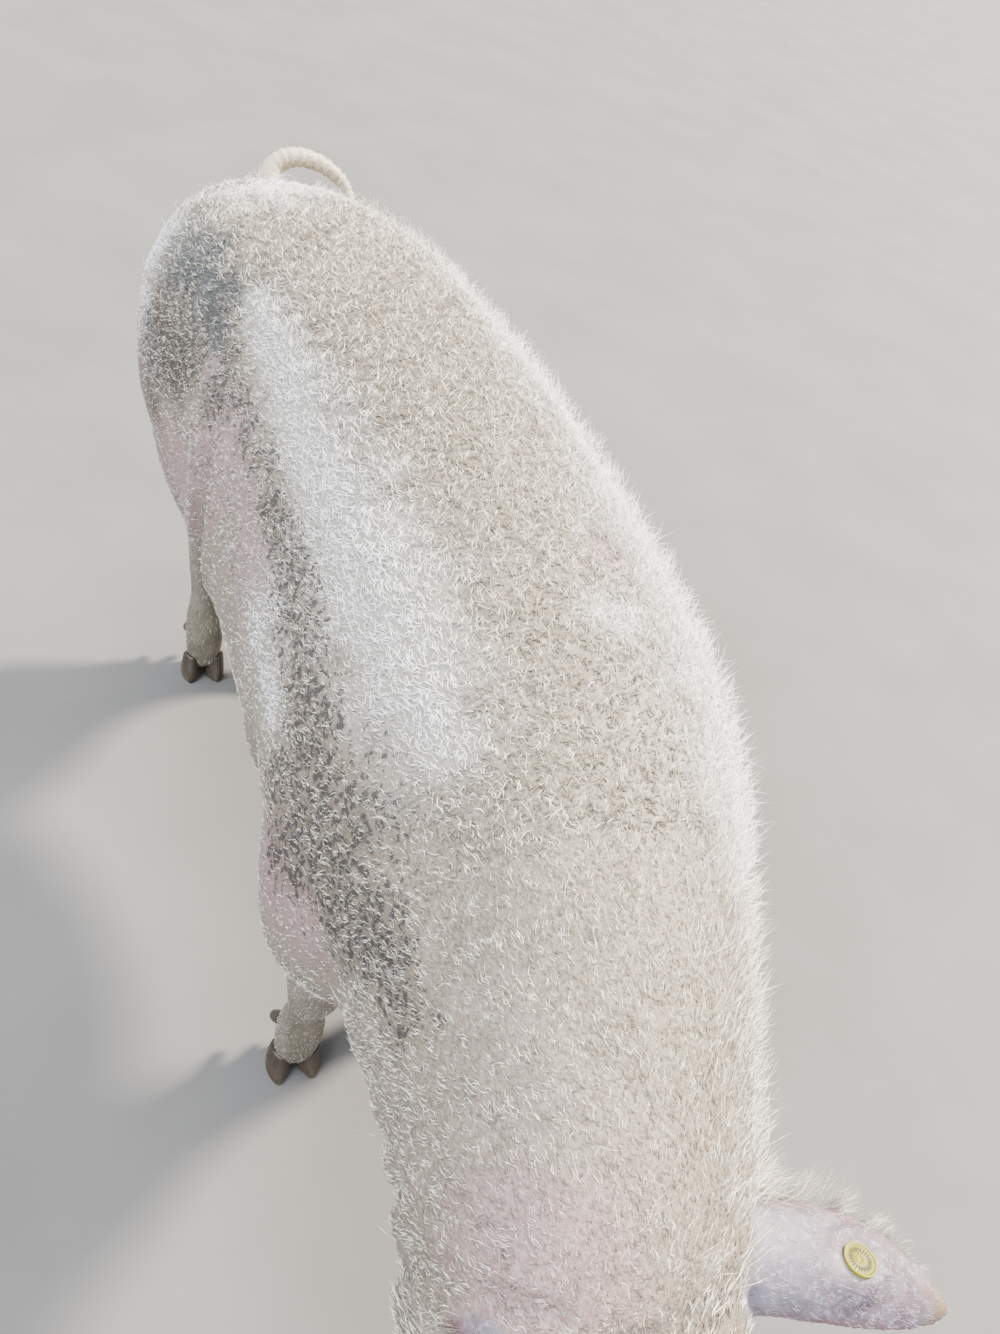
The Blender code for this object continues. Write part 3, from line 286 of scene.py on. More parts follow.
def flesh():
    """The whole animal's flesh but for ears and tail, as the solids have it."""
    east, north, high = Vector((1, 0, 0)), Vector((0, 1, 0)), Vector((0, 0, 1))
    rings = []
    for along, sideways, top, bottom, half_width in catmull(TRUNK, TRUNK_STEPS):
        middle = bottom + TRUNK_MIDDLE * (top - bottom)
        rings.append(ring(Vector((sideways, along, middle)), east, high, half_width,
                          top - middle, middle - bottom, TRUNK_POWER))
    shells = [loft(rings)]
    for name, (x, y) in FEET.items():
        sign = 1 if name.endswith("left") else -1
        rings = []
        for height, along, out, length, width in catmull(FORE_LEG if "fore" in name else HIND_LEG, LEG_STEPS):
            rings.append(ring(Vector((x + sign * out, y + along, height)), east, north, width,
                              length, length, LEG_POWER))
        shells.append(loft(rings))
    body = blend(add_object("body", joined(shells)), BODY_VOXEL, BODY_PASSES)
    rings = [ring(HEAD_ROOT + FORWARD * distance, SIDE, UP, half_width, rise, drop, HEAD_POWER)
             for distance, rise, drop, half_width in catmull(HEAD, HEAD_STEPS)]
    shells = [body.data.copy(), loft(rings)]
    for distance, sideways, rise, *sizes in HEAD_MASSES.values():
        for sign in (-1, 1):
            shells.append(ellipsoid(head_point(distance, sign * sideways, rise), sizes))
    bpy.data.objects.remove(body, do_unlink=True)
    return blend(add_object("hide_skin", joined(shells)), WHOLE_VOXEL, WHOLE_PASSES)


def ear_frame(sign):
    """Root, reach, width direction and facing of one ear, with the head held level."""
    level = Vector((FORWARD.x, FORWARD.y, 0)).normalized()
    root = head_point(EAR_ROOT[0], sign * EAR_ROOT[1], EAR_ROOT[2])
    reach = SIDE * (sign * EAR_REACH[0]) + level * EAR_REACH[1] + Vector((0, 0, EAR_REACH[2]))
    facing = SIDE * (sign * EAR_FACING[0]) + level * EAR_FACING[1] + Vector((0, 0, EAR_FACING[2]))
    facing = (facing - reach * (facing.dot(reach) / reach.length_squared)).normalized()
    return root, reach, reach.normalized().cross(facing) * -sign, facing


def ear_point(sign, along, across):
    """A point of the ear's back, from root (0) to tip (1) and edge to edge (-1 to 1)."""
    root, reach, width, facing = ear_frame(sign)
    inside = min(max(along, 0.0), 1.0)
    leaf = math.sin(math.pi * (EAR_LEAF_START + (1 - EAR_LEAF_START) * min(inside, 0.999)))
    half = EAR_HALF_WIDTH * max(leaf ** EAR_LEAF_POWER, EAR_TIP_WIDTH)
    curl = EAR_CUP_ROOT + (EAR_CUP_OPEN - EAR_CUP_ROOT) * min(along / EAR_OPEN_AT, 1.0)
    curl += EAR_TIP_CURL * max(along - EAR_TIP_AT, 0) / (1 - EAR_TIP_AT)
    radius = half / math.sin(min(curl, math.radians(88)))
    angle = across * curl
    middle = root + reach * along - Vector((0, 0, EAR_DROOP * max(along, 0.0) ** 2))
    middle += width * (EAR_BOW * math.sin(math.pi * inside))
    return middle + width * (radius * math.sin(angle)) + facing * (radius * (math.cos(angle) - 1))


def ear_grid(sign, rows=EAR_ROWS, columns=EAR_COLUMNS):
    """Points over the ear's back with their places along and across it."""
    cells = []
    for row in range(rows + 1):
        along = -EAR_SUNK + (1 + EAR_SUNK) * row / rows
        for column in range(columns + 1):
            across = -1 + 2 * column / columns
            cells.append((ear_point(sign, along, across), along, across))
    return cells


def ear_mesh(sign):
    """The ear as a cupped leaf with thickness."""
    bm = bmesh.new()
    verts = [bm.verts.new(point) for point, _, _ in ear_grid(sign)]
    wide = EAR_COLUMNS + 1
    for row in range(EAR_ROWS):
        for k in range(EAR_COLUMNS):
            a = row * wide + k
            bm.faces.new((verts[a], verts[a + 1], verts[a + wide + 1], verts[a + wide]))
    bm.normal_update()
    facing = ear_frame(sign)[3]
    if sum(face.normal.dot(facing) for face in bm.faces) < 0:
        bmesh.ops.reverse_faces(bm, faces=bm.faces)
    obj = add_object("ear", as_mesh(bm, "ear"))
    shell = obj.modifiers.new("thickness", "SOLIDIFY")
    shell.thickness = EAR_THICK
    shell.offset = -1.0
    shell.use_even_offset = True
    settle(obj)
    mesh = obj.data.copy()
    bpy.data.objects.remove(obj, do_unlink=True)
    return mesh


def surface_hit(tree, start, towards):
    """Where a straight line first meets the surface, and its facing there."""
    place, facing, _, _ = tree.ray_cast(start, (towards - start).normalized())
    return place, facing


def mouth_path(tree):
    """Points along the mouth line on the head's surface, from corner to corner."""
    sides = {}
    for sign in (-1, 1):
        sides[sign] = []
        for distance, rise in MOUTH_LINE:
            place, _ = surface_hit(tree, head_point(distance, sign * AIM_FROM, rise), head_point(distance, 0, rise))
            sides[sign].append(place)
    front, _ = surface_hit(tree, head_point(0.6, 0, MOUTH_FRONT), head_point(0.2, 0, MOUTH_FRONT))
    return [Vector(row) for row in catmull(sides[-1] + [front] + sides[1][::-1], MOUTH_STEPS)]


def snout_frame():
    """Middle and directions of the snout disc, whose face leans back a little."""
    out = (FORWARD * math.cos(SNOUT_TILT) + UP * math.sin(SNOUT_TILT)).normalized()
    return head_point(SNOUT_AT, 0, SNOUT_RISE), out, SIDE, SIDE.cross(out) * -1


def snout_mesh():
    """The disc of the snout, with a rounded rim and a slightly sunk face."""
    centre, out, side, up = snout_frame()
    return loft([ring(centre + out * (SNOUT_DEPTH * depth), side, up, SNOUT_HALF_WIDTH * size,
                      SNOUT_HALF_HEIGHT * size, SNOUT_HALF_HEIGHT * size, SNOUT_POWER, 48)
                 for depth, size in SNOUT_PROFILE])


def nostril_mesh(sign):
    """A tapered hole that runs back."""
    centre, out, side, up = snout_frame()
    middle = centre + side * (sign * NOSTRIL_APART)
    return loft([ring(middle + out * (NOSTRIL_DEPTH * depth), side, up, NOSTRIL_WIDTH * size,
                      NOSTRIL_HEIGHT * size, NOSTRIL_HEIGHT * size, 1.0)
                 for depth, size in NOSTRIL_PROFILE])


def eye_directions(facing, sign):
    """Directions of the slit between the lids: to the inner corner and to the brow."""
    along = (FORWARD - facing * facing.dot(FORWARD)).normalized()
    over = facing.cross(along) * -sign
    if over.dot(UP) < 0:
        over = -over
    corner = along * math.cos(LID_SLANT) + over * math.sin(LID_SLANT)
    return corner, over * math.cos(LID_SLANT) - along * math.sin(LID_SLANT)


def lid_mesh(centre, facing, sign):
    """Upper and lower lid as one almond ring round the eyeball."""
    corner, lift = eye_directions(facing, sign)
    rings = []
    for i in range(LID_COUNT):
        angle = 2 * math.pi * i / LID_COUNT
        high = math.copysign(abs(math.sin(angle)) ** LID_POINTED, math.sin(angle))
        radial = corner * (LID_HALF_WIDTH * math.cos(angle)) + lift * (LID_HALF_HEIGHT * high)
        reach = math.sqrt(max(EYE_RADIUS ** 2 - radial.length ** 2, LID_RADIUS ** 2))
        point = centre + radial + facing * (reach + LID_LIFT)
        outward = radial.normalized()
        thick = LID_RADIUS * (1.0 + LID_UPPER * max(math.sin(angle), 0))
        rings.append([point + (outward * math.cos(a) + facing * math.sin(a)) * thick
                      for a in (2 * math.pi * k / LID_SIDES for k in range(LID_SIDES))])
    return loft(rings, closed=True)


def vertex_array(mesh, field="co"):
    """The mesh's vertex places or normals as an array."""
    source = mesh.vertices if field == "co" else mesh.vertex_normals
    values = np.empty(len(mesh.vertices) * 3, np.float32)
    source.foreach_get("co" if field == "co" else "vector", values)
    return values.reshape(-1, 3).astype(float)


def put_vertices(mesh, places):
    """Move the mesh's vertices to these places."""
    mesh.vertices.foreach_set("co", places.astype(np.float32).ravel())
    mesh.update()


def step_up(low, high, value):
    """Smooth step from 0 at low to 1 at high."""
    t = np.clip((value - low) / (high - low), 0.0, 1.0)
    return t * t * (3 - 2 * t)


def head_places(places):
    """Places in the head's own distance, sideways and rise."""
    offset = places - np.array(HEAD_ROOT)
    return offset @ np.array((FORWARD, SIDE, UP)).T


def leg_share(places):
    """1 on the lower legs, 0 from the elbow and the stifle up."""
    return 1.0 - step_up(0.30, 0.46, places[:, 2])


def head_share(places):
    """1 on the head, 0 behind the jowls."""
    before = step_up(-0.02, 0.05, head_places(places)[:, 0])
    return before * step_up(0.74, 0.82, -places[:, 1])


# Creases, in the pig's frame or (head) in the head's: points, depth and width.
# A crease presses a valley and lifts a rim on each side of it.
HEAD_CREASES = (
    ("nose_fold_low", ((0.296, -0.050, 0.022), (0.300, -0.030, 0.044), (0.302, 0.000, 0.050),
                       (0.300, 0.030, 0.044), (0.296, 0.050, 0.022)), 0.0022, 0.0050),
    ("nose_fold_mid", ((0.272, -0.052, 0.026), (0.276, -0.028, 0.050), (0.278, 0.000, 0.056),
                       (0.276, 0.028, 0.050), (0.272, 0.052, 0.026)), 0.0020, 0.0055),
    ("nose_fold_high", ((0.246, -0.050, 0.036), (0.250, -0.026, 0.058), (0.252, 0.000, 0.062),
                        (0.250, 0.026, 0.058), (0.246, 0.050, 0.036)), 0.0016, 0.0060),
    ("brow_fold_low", ((0.165, -0.040, 0.088), (0.172, 0.000, 0.092), (0.165, 0.040, 0.088)), 0.0022, 0.0070),
    ("brow_fold_high", ((0.125, -0.044, 0.108), (0.132, 0.000, 0.114), (0.125, 0.044, 0.108)), 0.0020, 0.0080),
    ("snout_groove", ((0.380, 0.000, 0.050), (0.380, 0.000, 0.010), (0.380, 0.000, -0.040)), 0.0016, 0.0036),
    ("chin_fold", ((0.262, -0.034, -0.092), (0.270, 0.000, -0.096), (0.262, 0.034, -0.092)), 0.0022, 0.0070),
)
SIDE_CREASES = (
    ("eye_bag", ((0.172, 0.090, 0.026), (0.152, 0.105, 0.016), (0.128, 0.112, 0.024)), 0.0034, 0.0055),
    ("eye_bag_low", ((0.184, 0.088, 0.010), (0.158, 0.106, -0.002), (0.124, 0.116, 0.010)), 0.0024, 0.0060),
    ("brow_line", ((0.176, 0.078, 0.064), (0.150, 0.094, 0.074), (0.122, 0.102, 0.070)), 0.0036, 0.0060),
    ("tear_fold", ((0.180, 0.084, 0.030), (0.200, 0.076, 0.012), (0.222, 0.072, -0.006)), 0.0026, 0.0055),
    ("temple_fold", ((0.118, 0.106, 0.052), (0.098, 0.116, 0.044), (0.078, 0.122, 0.024)), 0.0026, 0.0060),
    ("cheek_fold", ((0.215, 0.078, -0.020), (0.186, 0.098, -0.048), (0.160, 0.108, -0.080)), 0.0040, 0.0080),
    ("mouth_corner", ((0.200, 0.084, -0.036), (0.184, 0.090, -0.030), (0.172, 0.096, -0.016)), 0.0028, 0.0045),
    ("jowl_fold", ((0.060, 0.110, -0.130), (0.010, 0.124, -0.085), (-0.022, 0.128, -0.020),
                   (-0.030, 0.120, 0.050)), 0.0075, 0.0140),
    ("jowl_fold_back", ((0.018, 0.100, -0.165), (-0.036, 0.126, -0.110), (-0.066, 0.132, -0.040)), 0.0050, 0.0130),
    ("ear_fold", ((0.050, 0.086, 0.108), (0.058, 0.104, 0.082), (0.040, 0.120, 0.060)), 0.0036, 0.0070),
    ("ear_fold_back", ((-0.010, 0.070, 0.118), (-0.022, 0.096, 0.098), (-0.014, 0.118, 0.066)), 0.0040, 0.0080),
    ("lip_wrinkle", ((0.300, 0.052, -0.030), (0.282, 0.062, -0.020), (0.262, 0.070, -0.008)), 0.0016, 0.0045),
    ("lip_wrinkle_back", ((0.262, 0.066, -0.040), (0.246, 0.074, -0.026), (0.228, 0.080, -0.008)), 0.0018, 0.0050),
)
BODY_CREASES = (
    ("elbow_right", ((-0.200, -0.300, 0.470), (-0.212, -0.265, 0.530), (-0.222, -0.275, 0.600)), 0.0100, 0.0220),
    ("elbow_left", ((0.225, -0.255, 0.470), (0.245, -0.220, 0.530), (0.250, -0.230, 0.600)), 0.0100, 0.0220),
    ("flank_right", ((-0.225, 0.150, 0.480), (-0.240, 0.095, 0.560), (-0.248, 0.062, 0.640),
                     (-0.250, 0.060, 0.710), (-0.244, 0.078, 0.780)), 0.0150, 0.0210),
    ("flank_left", ((0.150, 0.150, 0.480), (0.165, 0.145, 0.560), (0.165, 0.160, 0.650)), 0.0120, 0.0260),
    ("shoulder_right", ((-0.196, -0.560, 0.560), (-0.205, -0.575, 0.650), (-0.180, -0.600, 0.760)), 0.0060, 0.0240),
    ("shoulder_left", ((0.165, -0.545, 0.560), (0.170, -0.560, 0.650), (0.130, -0.600, 0.780)), 0.0060, 0.0240),
    ("neck_right", ((-0.165, -0.700, 0.560), (-0.178, -0.715, 0.650), (-0.150, -0.735, 0.760)), 0.0045, 0.0140),
    ("neck_left", ((0.085, -0.705, 0.560), (0.095, -0.725, 0.650), (0.060, -0.745, 0.760)), 0.0045, 0.0140),
    ("cleft", ((-0.102, 0.590, 0.780), (-0.102, 0.590, 0.680), (-0.090, 0.560, 0.580)), 0.0160, 0.0200),
    ("hock_right", ((-0.190, 0.470, 0.330), (-0.180, 0.480, 0.290)), 0.0030, 0.0080),
    ("throat_low", ((-0.140, -0.660, 0.440), (-0.050, -0.690, 0.440), (0.040, -0.670, 0.440)), 0.0060, 0.0180),
)
# Swells: middle, half size and how far they lift the skin
SWELLS = (
    ("shoulder_blade_right", (-0.215, -0.440, 0.720), 0.110, 0.0070),
    ("shoulder_blade_left", (0.215, -0.410, 0.720), 0.110, 0.0070),
    ("ham_right", (-0.255, 0.330, 0.640), 0.130, 0.0070),
    ("ham_left", (0.110, 0.330, 0.640), 0.130, 0.0070),
    ("shoulder_point_right", (-0.228, -0.395, 0.640), 0.080, 0.0120),
    ("shoulder_point_left", (0.235, -0.375, 0.640), 0.080, 0.0080),
    ("forearm_right", (-0.215, -0.420, 0.450), 0.070, 0.0050),
    ("forearm_left", (0.240, -0.380, 0.450), 0.070, 0.0050),
    ("crest", (-0.020, -0.640, 0.880), 0.120, 0.0040),
    ("hip_right", (-0.200, 0.300, 0.880), 0.070, 0.0040),
    ("hip_left", (0.070, 0.300, 0.880), 0.070, 0.0040),
)
# Teats, in two rows under the belly: where along, and their size
TEATS_ALONG = (-0.260, -0.160, -0.060, 0.040, 0.130, 0.210)
TEAT_APART, TEAT_RADIUS, TEAT_LENGTH = 0.060, 0.0050, 0.0110
TAIL_RIDGE_APART, TAIL_RIDGE_LIFT = 0.0085, 0.0010
# The tail's line is filled in with this many steps; it is free of the rump from
# this point of it on, and a place this near it belongs to it
TAIL_FINE, TAIL_FREE_FROM, TAIL_NEAR = 8, 8, 0.026


def press(places, normals, line, depth, width):
    """Press a valley along a line of points and lift its rims."""
    reach = 4.0 * width
    near = np.all((places > line.min(0) - reach) & (places < line.max(0) + reach), axis=1)
    chosen = np.nonzero(near)[0]
    if not len(chosen):
        return
    gaps = np.linalg.norm(places[chosen, None, :] - line[None, :, :], axis=2)
    best = gaps.argmin(1)
    distance = gaps[np.arange(len(chosen)), best]
    ends = np.sin(np.pi * np.clip((best + 0.5) / len(line), 0.06, 0.94)) ** 0.6
    valley = -np.exp(-(distance / width) ** 2)
    rim = 0.45 * np.exp(-((distance - 1.9 * width) / (0.9 * width)) ** 2)
    places[chosen] += normals[chosen] * (depth * ends * (valley + rim))[:, None]


def on_surface(tree, points):
    """The nearest places on the skin to some points."""
    return [tree.find_nearest(Vector(point))[0] for point in points]


def tag_seat():
    """Where the tag sits on the left ear, how the ear faces there, and the turn up to the tag's facing."""
    place = ear_point(1, *TAG_AT)
    ahead = ear_point(1, TAG_AT[0] + 0.02, TAG_AT[1]) - ear_point(1, TAG_AT[0] - 0.02, TAG_AT[1])
    across = ear_point(1, TAG_AT[0], TAG_AT[1] + 0.04) - ear_point(1, TAG_AT[0], TAG_AT[1] - 0.04)
    facing = ahead.cross(across).normalized()
    if facing.dot(ear_frame(1)[3]) < 0:
        facing = -facing
    return place, facing.cross(TAG_FACING).normalized(), facing.angle(TAG_FACING)


def turn_round_tag(places):
    """Turn the ear's skin round the tag to face as the tag does, fading out with distance."""
    place, axis, angle = tag_seat()
    place, axis = np.array(place), np.array(axis)
    offset = places - place
    share = 1.0 - step_up(TAG_TURN_FULL, TAG_TURN_END, np.linalg.norm(offset, axis=1))
    turn = (angle * share)[:, None]
    turned = (offset * np.cos(turn) + np.cross(axis[None, :], offset) * np.sin(turn)
              + axis * (offset @ axis)[:, None] * (1 - np.cos(turn)))
    return place + turned


def slit_sizes(places, centre, facing, sign):
    """How many slit sizes each place lies from the middle of the eye's slit, and how near the eye it is."""
    corner, lift = eye_directions(facing, sign)
    offset = places - np.array(centre + facing * EYE_RADIUS)
    along, above = offset @ np.array(corner) / LID_HALF_WIDTH, offset @ np.array(lift) / LID_HALF_HEIGHT
    near = 1.0 - step_up(0.034, 0.050, np.linalg.norm(offset, axis=1))
    return np.hypot(along, above * 0.9), near


def near_tail(places):
    """Which places are behind and high enough to be the tail's."""
    return np.nonzero((places[:, 1] > 0.575) & (places[:, 2] > 0.77))[0]


def tail_ridges(places):
    """How far the ringed skin of the tail stands out at each place."""
    points, _ = tail_points(TAIL_FINE)
    line = np.array([tuple(point) for point in points])
    runs = np.concatenate(((0.0,), np.cumsum(np.linalg.norm(np.diff(line, axis=0), axis=1))))
    lift = np.zeros(len(places))
    near = near_tail(places)
    gaps = np.linalg.norm(places[near, None, :] - line[None], axis=2)
    best = gaps.argmin(1)
    free = (best > TAIL_FREE_FROM) & (gaps[np.arange(len(near)), best] < TAIL_NEAR)
    lift[near] = TAIL_RIDGE_LIFT * np.sin(2 * np.pi * runs[best] / TAIL_RIDGE_APART) * free
    return lift


def sculpt(skin, coarse, eyes, mouth):
    """Press creases, the mouth and the lids' folds on the fine skin, and lift swells, teats and the tail's rings."""
    mesh = skin.data
    places, normals = vertex_array(mesh), vertex_array(mesh, "normal")
    lines = []
    for _, points, depth, width in HEAD_CREASES:
        lines.append(([head_point(*point) for point in points], depth, width))
    for _, points, depth, width in SIDE_CREASES:
        for sign in (-1, 1):
            lines.append(([head_point(d, sign * s, r) for d, s, r in points], depth, width))
    lines += [(points, depth, width) for _, points, depth, width in BODY_CREASES]
    for points, depth, width in lines:
        line = np.array(catmull(on_surface(coarse, points), 10))
        press(places, normals, line, depth, width)
    press(places, normals, np.array(catmull(on_surface(coarse, mouth), 4)), MOUTH_PRESS, MOUTH_WIDTH)
    for centre, facing, sign in eyes.values():
        sizes, near = slit_sizes(places, centre, facing, sign)
        for middle, thick, high in LID_FOLDS:
            places += normals * (high * near * np.exp(-((sizes - middle) / thick) ** 2))[:, None]
    snout, out, side, _ = snout_frame()
    for sign in (-1, 1):
        gap = np.linalg.norm(places - np.array(snout + side * (sign * NOSTRIL_APART)), axis=1)
        rim = np.exp(-((gap - NOSTRIL_HEIGHT) / NOSTRIL_RIM_WIDTH) ** 2)
        places += np.array(out) * (NOSTRIL_RIM * rim)[:, None]
    places += normals * tail_ridges(places)[:, None]
    for _, middle, size, lift in SWELLS:
        middle = np.array(coarse.find_nearest(Vector(middle))[0])
        share = np.exp(-(np.linalg.norm(places - middle, axis=1) / size) ** 2)
        places += normals * (lift * share)[:, None]
    for along in TEATS_ALONG:
        for sign in (-1, 1):
            under = Vector((sign * TEAT_APART, along, -0.5))
            place, _ = surface_hit(coarse, under, under + Vector((0, 0, 1)))
            gap = np.linalg.norm(places - np.array(place), axis=1)
            places += np.array((0, 0, -TEAT_LENGTH)) * np.exp(-(gap / TEAT_RADIUS) ** 4)[:, None]
    put_vertices(mesh, turn_round_tag(places))


def thin_out(obj, triangles, group_share):
    """Leave about this many triangles, taken away where the share is high."""
    count = sum(len(face.vertices) - 2 for face in obj.data.polygons)
    group = obj.vertex_groups.new(name="body")
    chosen = np.nonzero(group_share > 0.5)[0].tolist()
    group.add(chosen, 1.0, "REPLACE")
    fewer = obj.modifiers.new("fewer", "DECIMATE")
    fewer.ratio = min(1.0, triangles / count)
    fewer.vertex_group = group.name
    fewer.vertex_group_factor = 1.0
    settle(obj)
    obj.vertex_groups.clear()
    return obj


def cut_out(obj, meshes):
    """Cut closed shapes out of an object."""
    tool = add_object("tool", joined(meshes))
    step = obj.modifiers.new("cut", "BOOLEAN")
    step.operation = "DIFFERENCE"
    step.solver = "MANIFOLD"
    step.object = tool
    settle(obj)
    bpy.data.objects.remove(tool, do_unlink=True)
    return obj


def tail_points(steps=6):
    """Middle line and radii of the tail."""
    rows = catmull(TAIL, steps)
    return [Vector(row[:3]) for row in rows], [row[3] for row in rows]


def build_skin():
    """The one skin of trunk, head, ears, legs and tail, with the eyes' places and the mouth's line."""
    skin = flesh()
    tree = BVHTree.FromObject(skin, bpy.context.evaluated_depsgraph_get())
    mouth = mouth_path(tree)
    eyes = {}
    for name, sign in (("right", -1), ("left", 1)):
        inside = head_point(EYE_AT[0], 0, EYE_AT[1])
        place, facing = surface_hit(tree, head_point(EYE_AT[0] + EYE_AHEAD, sign * AIM_FROM, EYE_AT[1]), inside)
        eyes[name] = (place - facing * EYE_SUNK, facing, sign)
    places, normals = vertex_array(skin.data), vertex_array(skin.data, "normal")
    depth = np.full(len(places), DEPTH_TRUNK)
    for share, value in ((leg_share(places), DEPTH_LEGS), (head_share(places), DEPTH_HEAD)):
        depth = depth * (1 - share) + value * share
    put_vertices(skin.data, places - normals * depth[:, None])
    middle = head_point(*MUZZLE_MIDDLE)
    shells = [skin.data.copy(), snout_mesh()]
    for rise in (-LIP_APART, LIP_APART):
        points = [point + UP * rise + (middle - point).normalized() * LIP_SUNK for point in mouth]
        full = [math.sin(math.pi * i / (len(points) - 1)) ** 0.5 for i in range(len(points))]
        shells.append(tube(points, [LIP_RADIUS * (LIP_THINNEST + (1 - LIP_THINNEST) * f) for f in full], 10))
    shells += [lid_mesh(*eye) for eye in eyes.values()]
    shells += [ear_mesh(sign) for sign in (-1, 1)]
    shells.append(tube(*tail_points(), 16))
    skin.data = joined(shells)
    blend(skin, FINE_VOXEL, FINE_PASSES)
    coarse = BVHTree.FromObject(skin, bpy.context.evaluated_depsgraph_get())
    sculpt(skin, coarse, eyes, mouth)
    cutters = [ellipsoid(centre, (EYE_RADIUS + EYE_ROOM,) * 3) for centre, _, _ in eyes.values()]
    cutters += [nostril_mesh(sign) for sign in (-1, 1)]
    cut_out(skin, cutters)
    places = vertex_array(skin.data)
    ahead = head_share(places)
    behind = step_up(0.57, 0.60, places[:, 1]) * step_up(0.80, 0.86, places[:, 2])
    thin_out(skin, SKIN_TRIANGLES, 1.0 - np.maximum(ahead, behind))
    return skin, eyes, mouth


skin, EYES, MOUTH = build_skin()


# ---------------------------------------------------------------- markings

# Patches: middle and radius. The same shares colour the skin and the coat.
SLATE = (
    ((-0.252, 0.352, 0.862), 0.050), ((-0.240, 0.292, 0.876), 0.052), ((-0.234, 0.225, 0.868), 0.044),
    ((-0.230, 0.165, 0.852), 0.028),
)
BROWN = (
    ((-0.282, 0.325, 0.792), 0.052), ((-0.284, 0.275, 0.752), 0.064), ((-0.276, 0.215, 0.770), 0.052),
    ((-0.286, 0.300, 0.690), 0.060),
)
PINK = (
    ((-0.226, 0.030, 0.805), 0.036), ((-0.230, -0.040, 0.785), 0.040), ((-0.232, -0.420, 0.600), 0.062),
    ((-0.222, -0.490, 0.620), 0.050), ((-0.285, 0.360, 0.560), 0.110), ((-0.245, 0.170, 0.640), 0.080),
    ((-0.235, -0.120, 0.740), 0.060), ((-0.235, 0.060, 0.740), 0.070), ((-0.280, 0.420, 0.660), 0.090),
    ((-0.258, 0.130, 0.820), 0.034), ((-0.140, -0.850, 0.780), 0.070), ((0.080, -0.300, 0.905), 0.030),
)
SPECKLED = (
    ((-0.232, 0.190, 0.862), 0.040), ((-0.226, 0.120, 0.842), 0.030), ((-0.222, 0.064, 0.828), 0.028),
    ((-0.219, 0.012, 0.824), 0.028), ((-0.215, -0.040, 0.820), 0.029), ((-0.211, -0.096, 0.818), 0.031),
    ((-0.209, -0.155, 0.812), 0.034), ((-0.209, -0.213, 0.806), 0.038), ((-0.209, -0.265, 0.798), 0.042),
    ((-0.212, -0.325, 0.786), 0.046), ((-0.212, -0.385, 0.770), 0.056), ((-0.220, -0.390, 0.700), 0.050),
    ((-0.214, -0.445, 0.742), 0.074), ((-0.210, -0.500, 0.722), 0.080), ((-0.206, -0.560, 0.712), 0.066),
    ((-0.225, -0.440, 0.665), 0.055), ((-0.262, 0.190, 0.815), 0.050), ((-0.244, 0.110, 0.806), 0.036),
    ((-0.262, 0.265, 0.825), 0.050), ((-0.194, -0.575, 0.740), 0.064), ((-0.188, -0.625, 0.750), 0.050),
    ((-0.196, -0.500, 0.765), 0.056), ((-0.280, 0.250, 0.780), 0.056), ((-0.286, 0.305, 0.745), 0.056),
)
# The white band beside the slate: place and half width along it
WHITE_BAND = (
    (-0.188, 0.170, 0.905, 0.022), (-0.182, 0.100, 0.896, 0.030), (-0.180, 0.030, 0.888, 0.038),
    (-0.176, -0.050, 0.882, 0.040), (-0.168, -0.130, 0.876, 0.054), (-0.158, -0.220, 0.874, 0.064),
    (-0.150, -0.310, 0.868, 0.068), (-0.140, -0.400, 0.862, 0.058), (-0.134, -0.480, 0.860, 0.042),
)
RIGHT_BAND = (
    (0.120, 0.440, 0.880, 0.050), (0.140, 0.300, 0.890, 0.070), (0.155, 0.150, 0.895, 0.076),
    (0.165, 0.000, 0.888, 0.080), (0.172, -0.150, 0.875, 0.084), (0.176, -0.300, 0.855, 0.086),
    (0.160, -0.440, 0.840, 0.080), (0.130, -0.580, 0.820, 0.066),
)
WHITE = (
    ((-0.130, 0.430, 0.930), 0.070), ((-0.060, 0.520, 0.900), 0.070), ((0.060, -0.380, 0.905), 0.036),
    ((-0.236, -0.200, 0.745), 0.060), ((-0.236, -0.290, 0.715), 0.050),
    ((-0.290, 0.440, 0.815), 0.080), ((-0.298, 0.385, 0.745), 0.070),
) + tuple(((x, y, z), radius) for x, y, z, radius in catmull(WHITE_BAND, 4) + catmull(RIGHT_BAND, 4))
TAN = (
    ((-0.030, 0.060, 0.952), 0.110), ((-0.045, -0.100, 0.945), 0.100), ((-0.055, -0.260, 0.930), 0.090),
    ((-0.045, -0.400, 0.915), 0.090), ((-0.040, -0.540, 0.895), 0.080), ((-0.060, -0.680, 0.865), 0.080),
    ((-0.110, 0.270, 0.940), 0.070), ((0.040, -0.620, 0.860), 0.060), ((0.000, -0.760, 0.830), 0.060),
    ((-0.110, -0.640, 0.850), 0.060),
)
# How soft a patch is at its edge, as a share of its radius
EDGE = 0.35


def smooth_noise(places, wavelength, seed, waves=7):
    """A soft, repeatable noise from -1 to 1, made of a few slanted waves."""
    draw = np.random.default_rng(seed)
    total = np.zeros(len(places))
    for _ in range(waves):
        direction = draw.normal(size=3)
        direction /= np.linalg.norm(direction)
        length = wavelength * draw.uniform(0.7, 1.5)
        total += np.sin(places @ direction * (2 * math.pi / length) + draw.uniform(0, 2 * math.pi))
    return total / math.sqrt(waves)


